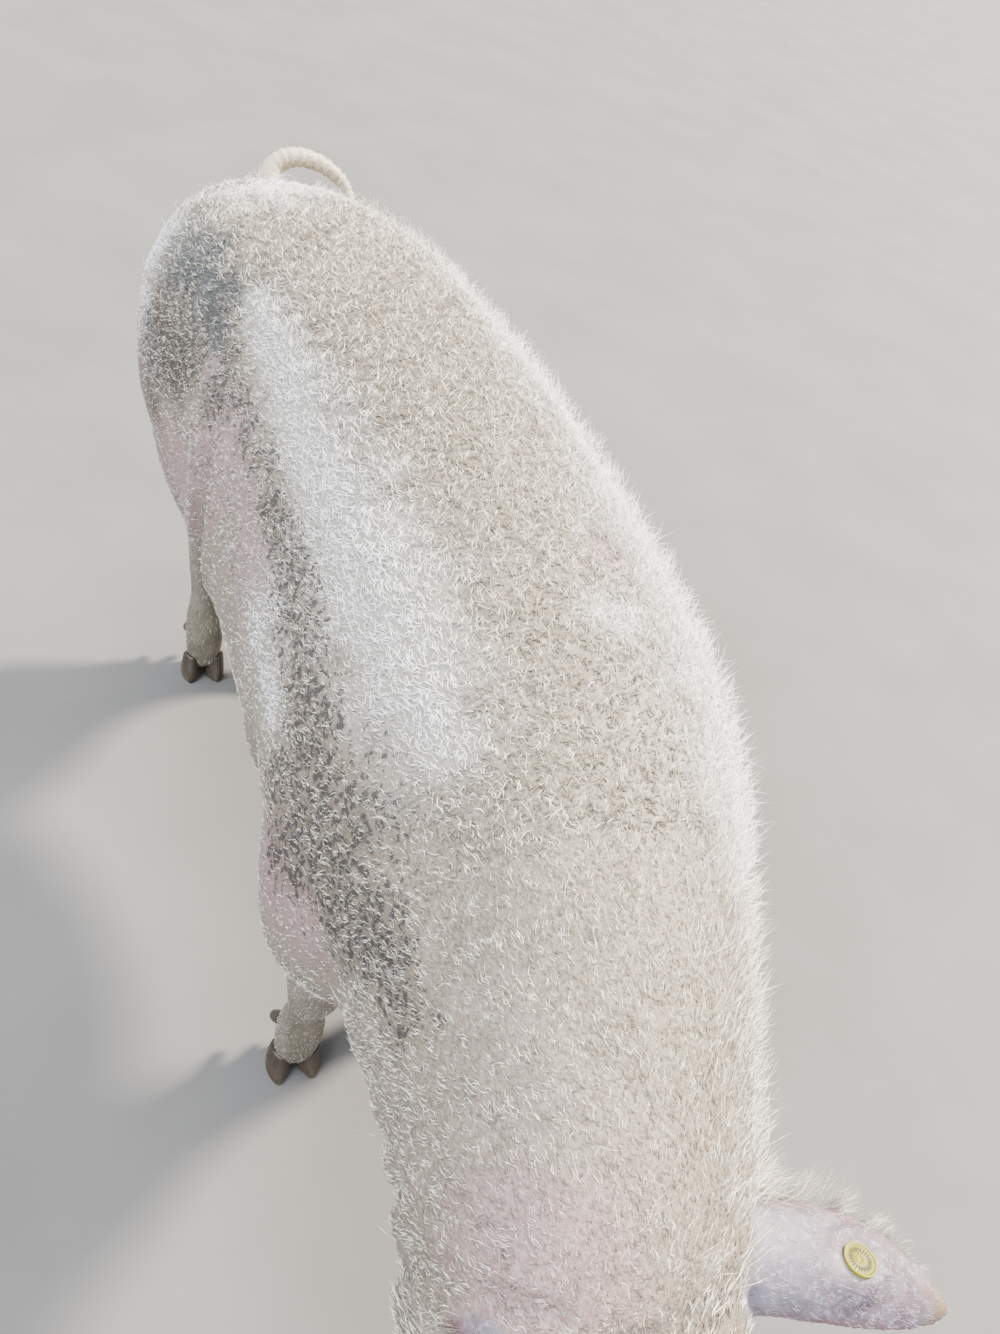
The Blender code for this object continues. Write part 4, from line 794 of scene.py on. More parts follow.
def patch_share(places, patches, seed, edge=EDGE):
    """How far each place lies in a patch with a soft, wavering edge."""
    share = np.zeros(len(places))
    waver = 1.0 + 0.20 * smooth_noise(places, 0.060, seed) + 0.12 * smooth_noise(places, 0.022, seed + 1)
    for middle, radius in patches:
        gap = np.linalg.norm(places - np.array(middle), axis=1) / (radius * waver)
        share = np.maximum(share, 1.0 - step_up(1.0 - edge, 1.0 + edge, gap))
    return share


def ear_tree():
    """A search tree of places over both ears, with their coordinates."""
    cells = [(sign, *cell) for sign in (-1, 1) for cell in ear_grid(sign)]
    tree = kdtree.KDTree(len(cells))
    for i, cell in enumerate(cells):
        tree.insert(cell[1], i)
    tree.balance()
    return tree, cells


EAR_TREE, EAR_CELLS = ear_tree()
TAIL_LINE = np.array([tuple(point) for point in tail_points(TAIL_FINE)[0]])


def ear_places(places):
    """Share on the ear, and the place along and across it, for each place."""
    share, along, across, signs = (np.zeros(len(places)) for _ in range(4))
    beside = np.abs(places[:, 0] + 0.07) > 0.06
    near = np.nonzero((places[:, 1] < -0.74) & (places[:, 2] > 0.62) & beside)[0]
    for i in near:
        _, index, gap = EAR_TREE.find(places[i])
        if gap < EAR_NEAR:
            sign, _, a, b = EAR_CELLS[index]
            share[i] = 1.0 if a > 0.10 else max(0.0, (a + 0.02) / 0.12)
            along[i], across[i], signs[i] = a, b, sign
    return share, along, across, signs


def tail_share(places):
    """1 on the free part of the tail."""
    gap = np.full(len(places), 1.0)
    for i in near_tail(places):
        gaps = np.linalg.norm(TAIL_LINE - places[i], axis=1)
        best = gaps.argmin()
        gap[i] = gaps[best] if best > TAIL_FREE_FROM else 1.0
    return (gap < TAIL_NEAR).astype(float)


def markings(places):
    """All the shares that the materials read."""
    shares = {name: patch_share(places, patches, 11 + 7 * i, edge) for i, (name, patches, edge) in enumerate(
        (("slate", SLATE, 0.30), ("brown", BROWN, 0.45), ("pink", PINK, 0.60), ("speckled", SPECKLED, 0.60),
         ("white", WHITE, 0.75), ("tan", TAN, 0.60)))}
    for name in ("slate", "brown"):
        shares[name] = shares[name] * (1 - 0.85 * shares["white"])
    shares["dirt"] = (1.0 - step_up(0.16, 0.40, places[:, 2])) * (0.8 + 0.2 * smooth_noise(places, 0.05, 3))
    return shares


def give_shares(mesh, shares, repeat=1):
    """Keep the shares with the mesh, as point attributes."""
    for name, values in shares.items():
        layer = mesh.attributes.new(name, "FLOAT", "POINT")
        layer.data.foreach_set("value", np.repeat(values, repeat).astype(np.float32))


SKIN_PLACES = vertex_array(skin.data)
ear_part, ear_along, ear_across, _ = ear_places(SKIN_PLACES)
SKIN_AHEAD, SKIN_ON_HEAD = head_places(SKIN_PLACES)[:, 0], head_share(SKIN_PLACES)
muzzle = step_up(0.24, 0.32, SKIN_AHEAD) * SKIN_ON_HEAD
skin_shares = markings(SKIN_PLACES)
skin_shares.update(ear=ear_part, rim=ear_part * step_up(0.70, 0.98, np.abs(ear_across)), muzzle=muzzle,
                   tip=ear_part * step_up(0.84, 0.97, ear_along),
                   downy=(ear_part * (1 - step_up(0.20, 0.60, ear_along))
                          * (1 - step_up(0.5, 0.9, np.abs(ear_across)))))
skin_shares["lid"] = np.zeros(len(SKIN_PLACES))
for eye in EYES.values():
    sizes, near = slit_sizes(SKIN_PLACES, *eye)
    skin_shares["lid"] = np.maximum(skin_shares["lid"], near * np.exp(-((sizes - 0.84) / 0.30) ** 2))
mouth_line = np.array([tuple(point) for point in on_surface(
    BVHTree.FromObject(skin, bpy.context.evaluated_depsgraph_get()), catmull(MOUTH, 4))])
mouth_near = np.nonzero(muzzle + (SKIN_AHEAD > 0.18) * (SKIN_ON_HEAD > 0.5) > 0.01)[0]
mouth_gap = np.linalg.norm(SKIN_PLACES[mouth_near, None, :] - mouth_line[None], axis=2).min(1)
# Painted shade: the mouth share darkens a thin line along the mouth, where the lips meet.
skin_shares["mouth"] = np.zeros(len(SKIN_PLACES))
skin_shares["mouth"][mouth_near] = np.exp(-(mouth_gap / 0.0030) ** 2)
skin_shares["disc"] = step_up(SNOUT_AT - 0.020, SNOUT_AT - 0.006, SKIN_AHEAD) * SKIN_ON_HEAD
skin_shares["tail"] = tail_share(SKIN_PLACES)
give_shares(skin.data, skin_shares)


# ---------------------------------------------------------------- the coat

COAT_SEED = 5
# Places strewn over the skin before the grid thins them, and faces of the unwrap
STREWN_PLACES, UNWRAP_FACES = 760000, 8000
# No tufts this near the eye, or below the top of the claws
EYE_CLEAR_OUT, EYE_CLEAR, CLAW_TOP = 0.012, 0.0165, 0.042
TUFT_SHARES = np.array((0.0, 0.5, 1.0))
TUFT_WIDTHS = np.array((0.75, 1.00))
TUFT_SUNK = 0.0012
PATCH = 0.003
# Each part of the coat: grid cell in which one tuft grows, length, lift of the
# tip and width, all in metres, and how far the tuft bends in radians
ZONES = {
    "back": (0.00405, 0.0150, 0.0056, 0.0012, 1.20),
    "neck": (0.0034, 0.0108, 0.0034, 0.0008, 0.90),
    "side": (0.0056, 0.0155, 0.0032, 0.0014, 0.80),
    "belly": (0.0095, 0.0180, 0.0040, 0.0018, 0.60),
    "thigh": (0.0071, 0.0145, 0.0028, 0.0015, 0.50),
    "shank": (0.0050, 0.0125, 0.0015, 0.0013, 0.30),
    "head": (0.0042, 0.0122, 0.0024, 0.0012, 0.45),
    "jowl": (0.0050, 0.0175, 0.0044, 0.0013, 0.60),
    "muzzle": (0.0048, 0.0060, 0.0014, 0.0006, 0.20),
    "ear": (0.0040, 0.0090, 0.0018, 0.0005, 0.30),
    "tail": (0.0030, 0.0060, 0.0014, 0.0007, 0.25),
    "fringe": (0.0, 0.0350, 0.0016, 0.0003, 0.45),
    "lash": (0.0, 0.0150, 0.0016, 0.0003, 0.40),
}
LONG_ZONES = ("back", "neck", "side", "jowl", "thigh")
STRAY_ZONES = ("back", "neck", "side", "jowl")
CLUMP_CELL, CLUMP_PULL = 0.009, 0.35
STRAY_LIFT, STRAY_LENGTH, STRAY_WIDTH = 0.0215, 0.0350, 0.0005
STRAY_SHARE, STRAY_EDGE_SHARE, STRAY_RIGHT_SHARE = 0.022, 0.30, 0.002
TUSSOCK, TUSSOCK_PULL, TUSSOCK_SPREAD = 0.0095, 0.60, 0.38
FRONT_SHORTER = 0.84
LASH_COUNT, LASH_OUT, LASH_ABOVE = 90, 1.05, 1.25
FRINGE_COUNT, FRINGE_WISPS = 440, 30
FRINGE_FIRST, FRINGE_LAST = 1.60, 0.34


def sample_skin(mesh, count, draw):
    """Evenly strewn places on the mesh, with their normals."""
    mesh.calc_loop_triangles()
    corners = np.empty(len(mesh.loop_triangles) * 3, np.int32)
    mesh.loop_triangles.foreach_get("vertices", corners)
    corners = corners.reshape(-1, 3)
    places, normals = vertex_array(mesh), vertex_array(mesh, "normal")
    a, b, c = (places[corners[:, k]] for k in range(3))
    areas = np.linalg.norm(np.cross(b - a, c - a), axis=1)
    faces = draw.choice(len(corners), size=count, p=areas / areas.sum())
    u, v = draw.random(count), draw.random(count)
    over = u + v > 1
    u[over], v[over] = 1 - u[over], 1 - v[over]
    weights = np.stack((1 - u - v, u, v), axis=1)
    place = np.einsum("ij,ijk->ik", weights, places[corners[faces]])
    normal = np.einsum("ij,ijk->ik", weights, normals[corners[faces]])
    return place, unit(normal)


def unit(vectors):
    """Vectors of length 1."""
    return vectors / np.maximum(np.linalg.norm(vectors, axis=1), 1e-9)[:, None]


def flat_on(vectors, normals):
    """Vectors laid into the skin's surface."""
    return unit(vectors - normals * np.sum(vectors * normals, axis=1)[:, None])


def first_in_cells(places, cell):
    """One place in each cell of a grid."""
    keys = np.floor(places / cell).astype(np.int64)
    _, chosen = np.unique(keys @ np.array((1, 100003, 10000600009)), return_index=True)
    return np.sort(chosen)


def zone_of(places, normals):
    """The name of the coat's part for each place, or an empty one where it is bare."""
    head = head_places(places)
    names = np.full(len(places), "side", dtype="<U8")
    names[(places[:, 2] > 0.70) | (normals[:, 2] > 0.35)] = "back"
    names[(places[:, 1] < -0.60) & (places[:, 2] > 0.62)] = "neck"
    names[(normals[:, 2] < -0.45) & (places[:, 2] < 0.62)] = "belly"
    names[places[:, 2] < 0.50] = "thigh"
    names[(places[:, 2] < 0.52) & (normals[:, 2] < -0.70)] = "belly"
    names[places[:, 2] < 0.31] = "shank"
    on_head = head_share(places) > 0.5
    names[on_head] = "head"
    names[on_head & ((head[:, 2] < -0.02) & (head[:, 0] < 0.19) | (head[:, 0] < 0.05))] = "jowl"
    names[on_head & (head[:, 0] > 0.255)] = "muzzle"
    share, *_ = ear_places(places)
    names[share > 0.4] = "ear"
    names[tail_share(places) > 0.5] = "tail"
    bare = on_head & (head[:, 0] > SNOUT_AT - 0.026) & (np.abs(head[:, 2] - SNOUT_RISE) < 0.060)
    for centre, facing, _ in EYES.values():
        bare |= np.linalg.norm(places - np.array(centre + facing * EYE_CLEAR_OUT), axis=1) < EYE_CLEAR
    bare |= places[:, 2] < CLAW_TOP
    names[bare] = ""
    return names


def lie_of(places, normals, zones, draw):
    """The direction in which each tuft lies."""
    side_on = np.abs(normals[:, 0])
    flow = np.stack((0.10 * np.sign(normals[:, 0]) * side_on, np.ones(len(places)),
                     -0.10 - 0.55 * side_on ** 2), axis=1)
    rump = step_up(0.35, 0.85, normals[:, 1])[:, None] * (places[:, 1] > 0.2)[:, None]
    flow = flow * (1 - rump) + np.stack((0.4 * normals[:, 0], np.zeros(len(places)),
                                         -np.ones(len(places))), axis=1) * rump
    legs = (1 - step_up(0.36, 0.56, places[:, 2]))[:, None]
    flow = flow * (1 - legs) + np.array((0.0, 0.25, -1.0)) * legs
    head = head_places(places)
    on_head = head_share(places)[:, None]
    back = -np.array(FORWARD)[None, :] + np.array(SIDE) * np.sign(head[:, 1:2]) * 0.45
    back = back - np.array((0, 0, 1)) * 0.4 * (head[:, 2:3] < 0)
    flow = flow * (1 - on_head) + back * on_head
    *_, signs = ear_places(places)
    for sign in (-1, 1):
        _, reach, _, _ = ear_frame(sign)
        on_ear = ((zones == "ear") & (signs == sign))[:, None]
        flow = np.where(on_ear, np.array(reach.normalized())[None, :], flow)
    on_tail = zones == "tail"
    if on_tail.any():
        gaps = np.linalg.norm(places[on_tail][:, None, :] - TAIL_LINE[None], axis=2)
        best = np.clip(gaps.argmin(1), 0, len(TAIL_LINE) - 2)
        round_tail = np.cross(normals[on_tail], unit(TAIL_LINE[best + 1] - TAIL_LINE[best]))
        flow[on_tail] = round_tail * draw.choice((-1.0, 1.0), (len(best), 1))
    lie = flat_on(flow, normals)
    across = np.cross(normals, lie)
    wild = np.select([zones == name for name in ("back", "neck", "side", "belly", "thigh", "jowl")],
                     [1.0, 0.8, 0.8, 0.8, 0.55, 0.6], 0.25)
    calm = step_up(0.50, 0.72, -places[:, 1]) + step_up(0.6, 0.95, side_on)
    wild = wild * (1 - 0.45 * np.clip(calm, 0, 1))
    turn = wild * (math.radians(24) * smooth_noise(places, 0.050, 21)
                   + math.radians(26) * smooth_noise(places, 0.016, 22))
    turn += math.radians(44) * draw.normal(size=len(places)) * (0.20 + 0.80 * wild)
    return lie * np.cos(turn)[:, None] + across * np.sin(turn)[:, None]


def clump_tips(roots, tips, cell, pull):
    """Draw the tips of neighbouring tufts together, each to its clump's middle one."""
    centres = first_in_cells(roots, cell)
    tree = kdtree.KDTree(len(centres))
    for i, index in enumerate(centres):
        tree.insert(roots[index], i)
    tree.balance()
    owner = np.array([centres[tree.find(root)[1]] for root in roots])
    return (tips[owner] - tips) * pull


def grow(places, normals, zones, draw, outward=None):
    """Stages of every tuft: middles of its rings and tip, width direction and up."""
    table = np.array([ZONES[name] for name in zones])
    length = table[:, 1] * draw.uniform(0.70, 1.25, len(places)) * (1 + 0.15 * smooth_noise(places, 0.06, 31))
    length *= 1 - (1 - FRONT_SHORTER) * step_up(0.20, 0.50, -places[:, 1]) * (zones == "back")
    tussocks = smooth_noise(places, TUSSOCK, 33, 14) * (1 - 0.45 * patch_share(places, WHITE, 39))
    over = np.clip(0.5 + TUSSOCK_PULL * tussocks + TUSSOCK_SPREAD * (draw.random(len(places)) - 0.5), 0, 1)
    lift = table[:, 2] * (0.30 + 1.25 * over) * (1 + 0.25 * smooth_noise(places, 0.03, 32))
    long_part = np.isin(zones, LONG_ZONES)
    flank = step_up(0.55, 0.92, np.abs(normals[:, 0])) * np.isin(zones, ("back", "side"))
    length, lift = length * (1 - 0.30 * flank), lift * (1 - 0.45 * flank)
    edge = step_up(0.10, 0.70, normals[:, 0]) * (places[:, 2] > 0.60)
    plain = STRAY_RIGHT_SHARE + (STRAY_SHARE - STRAY_RIGHT_SHARE) * step_up(-0.55, 0.0, normals[:, 0])
    stray = draw.random(len(places)) < plain + (STRAY_EDGE_SHARE - STRAY_SHARE) * edge
    stray &= np.isin(zones, STRAY_ZONES)
    length = np.where(stray, STRAY_LENGTH * draw.uniform(0.6, 1.15, len(places)), length)
    lift = np.where(stray, STRAY_LIFT * draw.uniform(0.4, 1.2, len(places)), lift)
    if outward is None:
        lie = lie_of(places, normals, zones, draw)
    else:
        lie = outward[0]
        length = length * outward[1]
    side = np.cross(normals, lie)
    bend = table[:, 4] * draw.uniform(0.4, 1.4, len(places)) * draw.choice((-1.0, 1.0), len(places))
    bend = np.where(stray, 0.35 * bend, bend)
    middles = [places - normals * TUFT_SUNK]
    for turn, rise in ((-0.5 * bend, 0.62 * lift), (0.5 * bend, lift * draw.uniform(0.05, 0.70, len(places)))):
        step = lie * np.cos(turn)[:, None] + side * np.sin(turn)[:, None]
        middles.append(middles[-1] + step * (0.5 * length)[:, None] + normals * rise[:, None])
    pull = np.where(long_part & ~stray, CLUMP_PULL, 0.0)[:, None]
    drawn = clump_tips(places, middles[-1], CLUMP_CELL, 1.0)
    near = (np.linalg.norm(drawn, axis=1) < 0.016)[:, None]
    middles = [middle + drawn * pull * near * share ** 2 for middle, share in zip(middles, TUFT_SHARES)]
    twist = draw.uniform(-0.7, 0.7, len(places))[:, None]
    width = table[:, 3] * (1.45 - 0.75 * over) * draw.uniform(0.8, 1.2, len(places))
    width = np.where(stray, STRAY_WIDTH, width)
    across = side * np.cos(twist) + normals * np.sin(twist)
    above = normals * np.cos(twist) - side * np.sin(twist)
    return middles, across, above, width, np.where(stray, 1.0, over)


TUFT_FACES = np.array([(0, 2, 1)] + [face for k in range(3) for face in (
    (k, (k + 1) % 3, 3 + (k + 1) % 3), (k, 3 + (k + 1) % 3, 3 + k), (3 + k, 3 + (k + 1) % 3, 6))])
TUFT_POINTS = 7
FACE_SPREAD = np.array([(0.2, 0.0), (0.8, 0.0), (0.5, 0.1), (0.2, 0.5), (0.8, 0.5), (0.5, 0.6),
                        (0.5, 1.0)]) - 0.5


def tuft_piece(name, grown, roots, uv, shares, draw):
    """One piece of the coat, from the grown tufts."""
    middles, across, above, width, over = grown
    count = len(roots)
    points = np.empty((count, TUFT_POINTS, 3))
    for j, wide in enumerate(TUFT_WIDTHS):
        half = across * (width * wide / 2)[:, None]
        points[:, 3 * j] = middles[j] - half
        points[:, 3 * j + 1] = middles[j] + half
        points[:, 3 * j + 2] = middles[j] + above * (width * wide * 0.42)[:, None]
    points[:, 6] = middles[2]
    faces = (TUFT_FACES[None] + (np.arange(count) * TUFT_POINTS)[:, None, None]).reshape(-1)
    mesh = bpy.data.meshes.new(name)
    mesh.vertices.add(count * TUFT_POINTS)
    mesh.vertices.foreach_set("co", points.astype(np.float32).ravel())
    mesh.loops.add(len(faces))
    mesh.loops.foreach_set("vertex_index", faces.astype(np.int32))
    triangles = len(faces) // 3
    mesh.polygons.add(triangles)
    mesh.polygons.foreach_set("loop_start", np.arange(0, len(faces), 3, dtype=np.int32))
    mesh.polygons.foreach_set("use_smooth", np.ones(triangles, bool))
    mesh.update(calc_edges=True)
    spread = uv[:, None, :] + FACE_SPREAD[None] * PATCH
    layer = mesh.uv_layers.new(name="OFBake")
    layer.uv.foreach_set("vector", spread.reshape(-1, 2)[faces].astype(np.float32).ravel())
    give_shares(mesh, shares, TUFT_POINTS)
    give_shares(mesh, {"shade": np.clip(over + 0.14 * draw.normal(size=count), 0, 1)}, TUFT_POINTS)
    tip = mesh.attributes.new("along", "FLOAT", "POINT")
    tip.data.foreach_set("value", np.tile(
        np.repeat(TUFT_SHARES, (3, 3, 1)), count).astype(np.float32))
    return add_object(name, mesh)


def unwrapped(mesh):
    """A coarse copy of the skin with its own unwrap, as a tree, triangles and their UVs."""
    plain = add_object("unwrap", mesh.copy())
    fewer = plain.modifiers.new("fewer", "DECIMATE")
    fewer.ratio = UNWRAP_FACES / len(mesh.polygons)
    settle(plain)
    bpy.ops.object.select_all(action="DESELECT")
    bpy.context.view_layer.objects.active = plain
    plain.select_set(True)
    bpy.ops.object.mode_set(mode="EDIT")
    bpy.ops.mesh.select_all(action="SELECT")
    bpy.ops.mesh.quads_convert_to_tris()
    bpy.ops.uv.smart_project(angle_limit=math.radians(66), island_margin=0.004)
    bpy.ops.object.mode_set(mode="OBJECT")
    tree = BVHTree.FromObject(plain, bpy.context.evaluated_depsgraph_get())
    places = vertex_array(plain.data)
    corners = np.empty(len(plain.data.loops), np.int32)
    plain.data.loops.foreach_get("vertex_index", corners)
    uvs = np.empty(len(corners) * 2, np.float32)
    plain.data.uv_layers.active.uv.foreach_get("vector", uvs)
    result = tree, places[corners.reshape(-1, 3)], uvs.reshape(-1, 3, 2).astype(float)
    bpy.data.objects.remove(plain, do_unlink=True)
    return result


def uv_at(places, unwrap):
    """The unwrap's coordinates nearest each place."""
    tree, triangles, uvs = unwrap
    faces = np.empty(len(places), np.int64)
    near = np.empty((len(places), 3))
    for i, place in enumerate(places):
        hit, _, face, _ = tree.find_nearest(place)
        faces[i], near[i] = face, hit
    a, b, c = (triangles[faces][:, k] for k in range(3))
    whole = np.cross(b - a, c - a)
    area = np.maximum(np.sum(whole * whole, axis=1), 1e-18)
    beta = np.sum(np.cross(near - a, c - a) * whole, axis=1) / area
    gamma = np.sum(np.cross(b - a, near - a) * whole, axis=1) / area
    weights = np.clip(np.stack((1 - beta - gamma, beta, gamma), axis=1), 0, 1)
    weights /= weights.sum(1)[:, None]
    return np.einsum("ij,ijk->ik", weights, uvs[faces])


def as_arrays(places, normals, lies, sizes):
    """Gathered tufts as arrays, each normal square to the way its tuft lies."""
    places, normals, lies = (np.array([tuple(v) for v in rows]) for rows in (places, normals, lies))
    return places, flat_on(normals, lies), lies, np.array(sizes)


def ear_fringe(draw):
    """Roots of the fine hair along each ear's rear edge, in wisps that thin out to the tip."""
    places, normals, lies, sizes = [], [], [], []
    for sign in (-1, 1):
        _, reach, width, facing = ear_frame(sign)
        rear = 1 if ear_point(sign, 0.5, 1).y > ear_point(sign, 0.5, -1).y else -1
        wisps = np.sort(draw.uniform(0.0, 1.0, FRINGE_WISPS) ** 1.7)
        leans = draw.normal(size=(FRINGE_WISPS, 2)) * (0.30, 0.20)
        for _ in range(FRINGE_COUNT):
            wisp = int(draw.integers(FRINGE_WISPS))
            along = 0.04 + 0.92 * wisps[wisp] + draw.normal() * 0.022
            across = rear * draw.uniform(0.80, 1.0)
            lie = width * (rear * (0.56 + leans[wisp][0])) + reach.normalized() * 0.85
            lie = lie + facing * (leans[wisp][1] + 0.10) + Vector(draw.normal(size=3)) * 0.10
            places.append(ear_point(sign, along, across) - facing * draw.uniform(0.0, 0.004))
            lies.append(lie.normalized())
            normals.append(facing)
            sizes.append(FRINGE_FIRST + (FRINGE_LAST - FRINGE_FIRST) * min(1.0, 1.25 * along))
    return as_arrays(places, normals, lies, sizes)


def eyelashes(draw):
    """Roots of the pale lashes along each upper lid, which hang forward over the eye."""
    places, normals, lies, sizes = [], [], [], []
    for centre, facing, sign in EYES.values():
        corner, lift = eye_directions(facing, sign)
        for angle in draw.uniform(math.radians(25), math.radians(165), LASH_COUNT):
            radial = (corner * (LID_HALF_WIDTH * LASH_OUT * math.cos(angle))
                      + lift * (LID_HALF_HEIGHT * LASH_ABOVE * math.sin(angle)))
            reach = math.sqrt(EYE_RADIUS ** 2 - min(radial.length, 0.8 * EYE_RADIUS) ** 2)
            places.append(centre + radial + facing * (reach + LID_RADIUS * 0.75))
            lie = facing * 0.80 - lift * draw.uniform(0.15, 0.60) - corner * draw.uniform(-0.1, 0.5)
            lies.append((lie + Vector(draw.normal(size=3)) * 0.08).normalized())
            normals.append(lift)
            sizes.append(draw.uniform(0.7, 1.1))
    return as_arrays(places, normals, lies, sizes)


def grow_coat(mesh):
    """Comb the whole coat over the skin and return its pieces."""
    draw = np.random.default_rng(COAT_SEED)
    places, normals = sample_skin(mesh, STREWN_PLACES, draw)
    zones = zone_of(places, normals)
    kept = []
    for name, row in ZONES.items():
        chosen = np.nonzero(zones == name)[0] if name != "fringe" else ()
        if len(chosen):
            kept.append(chosen[first_in_cells(places[chosen], row[0])])
    kept = np.concatenate(kept)
    places, normals, zones = places[kept], normals[kept], zones[kept]
    unwrap = unwrapped(mesh)
    along = places[:, 1]
    region = np.full(len(places), "coat_flank", dtype="<U16")
    region[along < -0.28] = "coat_shoulder"
    region[along < -0.62] = "coat_neck"
    region[along > 0.10] = "coat_loin"
    region[along > 0.34] = "coat_rump"
    for zone, label in (("belly", "coat_belly"), ("thigh", "coat_thighs"), ("shank", "coat_shanks"),
                        ("head", "coat_head"), ("muzzle", "coat_head"), ("jowl", "coat_jowls"),
                        ("ear", "coat_ears"), ("tail", "coat_tail")):
        region[zones == zone] = label
    wide = np.isin(region, ("coat_flank", "coat_shoulder", "coat_neck", "coat_loin", "coat_rump"))
    middle = np.interp(-along, [-row[0] for row in TRUNK], [row[1] for row in TRUNK])
    band = np.where(places[:, 0] > middle, "_left", "_right")
    region = np.where(wide, np.char.add(region, band), region)
    grown = grow(places, normals, zones, draw)
    pieces = []
    for label in sorted(set(region)):
        chosen = region == label
        part = tuple([m[chosen] for m in item] if isinstance(item, list) else item[chosen] for item in grown)
        pieces.append(tuft_piece(label, part, places[chosen], uv_at(places[chosen], unwrap),
                                 coat_shares(places[chosen], zones[chosen]), draw))
    for label, zone, strewn in (("coat_ear_fringes", "fringe", ear_fringe), ("coat_lashes", "lash", eyelashes)):
        places, normals, lies, sizes = strewn(draw)
        zones = np.full(len(places), zone)
        pieces.append(tuft_piece(label, grow(places, normals, zones, draw, (lies, sizes)), places,
                                 uv_at(places, unwrap), coat_shares(places, zones), draw))
    return pieces


def coat_shares(places, zones):
    """What colours each tuft."""
    shares = markings(places)
    shares["fine"] = np.isin(zones, ("ear", "muzzle", "fringe", "tail", "lash")).astype(float)
    shares["tail"] = (zones == "tail").astype(float)
    shares["ear"] = (zones == "ear").astype(float)
    return shares


coat = grow_coat(skin.data)


# ---------------------------------------------------------------- materials

def linear(hex_text):
    """Turn an sRGB hex colour into the linear colour that a shader takes."""
    channels = [int(hex_text[i:i + 2], 16) / 255 for i in (1, 3, 5)]
    return (*[c / 12.92 if c <= 0.04045 else ((c + 0.055) / 1.055) ** 2.4 for c in channels], 1.0)


def add_node(tree, kind, settings=None, **links):
    """Add one node with its settings and links; a link's name may end in a socket's number."""
    node = tree.nodes.new(kind)
    for name, value in (settings or {}).items():
        if isinstance(name, int) or name in node.inputs:
            node.inputs[name].default_value = value
        else:
            setattr(node, name, value)
    for name, socket in links.items():
        place = int(name[1:]) if name[0] == "i" and name[1:].isdigit() else name.replace("_", " ")
        tree.links.new(socket, node.inputs[place])
    return node


def new_material(name):
    """A material with its node tree and its shader."""
    material = bpy.data.materials.new(name)
    material.use_nodes = True
    tree = material.node_tree
    return material, tree, tree.nodes["Principled BSDF"]


def mix(tree, factor, first, second, mode="MIX"):
    """Mix two colours by a share; colours are sockets or hex texts."""
    node = add_node(tree, "ShaderNodeMix", {"data_type": "RGBA", "blend_type": mode}, i0=factor)
    for place, colour in ((6, first), (7, second)):
        if isinstance(colour, str):
            node.inputs[place].default_value = linear(colour)
        else:
            tree.links.new(colour, node.inputs[place])
    return node.outputs[2]


def share(tree, name):
    """A point attribute of the piece."""
    return add_node(tree, "ShaderNodeAttribute", {"attribute_name": name}).outputs["Fac"]


def spread(tree, value, low, high, least=0.0, most=1.0):
    """Spread a value's range smoothly over another."""
    return add_node(tree, "ShaderNodeMapRange", {
        "interpolation_type": "SMOOTHSTEP", "From Min": low, "From Max": high, "To Min": least,
        "To Max": most}, Value=value).outputs["Result"]


def times(tree, first, second):
    """Multiply two values."""
    second_is_number = isinstance(second, (int, float))
    node = add_node(tree, "ShaderNodeMath", {"operation": "MULTIPLY"}, i0=first)
    if second_is_number:
        node.inputs[1].default_value = second
    else:
        tree.links.new(second, node.inputs[1])
    return node.outputs[0]


def noise_at(tree, vector, size, detail=3.0, roughness=0.55):
    """Noise whose lumps are about this many metres across."""
    return add_node(tree, "ShaderNodeTexNoise", {
        "Scale": 1.0 / size, "Detail": detail, "Roughness": roughness}, Vector=vector).outputs["Fac"]


SPECKLE_SIZE, SPECKLE_GRAIN = 0.0078, 0.0022


def marked(tree, vector, base, slate, brown, spot):
    """Lay the slate and brown patches and the dark speckles over a colour. The
    speckles are ragged blots that run together where they are dense."""
    blots = noise_at(tree, vector, SPECKLE_SIZE, 4.0, 0.62)
    grain = noise_at(tree, vector, SPECKLE_GRAIN, 2.0)
    speckled = share(tree, "speckled")
    level = blots
    for more in (times(tree, speckled, 0.150), times(tree, grain, 0.06)):
        level = add_node(tree, "ShaderNodeMath", {"operation": "ADD"}, i0=level, i1=more).outputs[0]
    dots = times(tree, spread(tree, level, 0.655, 0.695), spread(tree, speckled, 0.02, 0.16))
    ground = spread(tree, blots, 0.52, 0.64, 1.0, 0.35)
    colour = mix(tree, times(tree, times(tree, speckled, speckled), 0.45), base, brown)
    colour = mix(tree, times(tree, share(tree, "brown"), ground), colour, brown)
    colour = mix(tree, times(tree, share(tree, "slate"), ground), colour, slate)
    return mix(tree, times(tree, dots, 0.92), colour, spot)


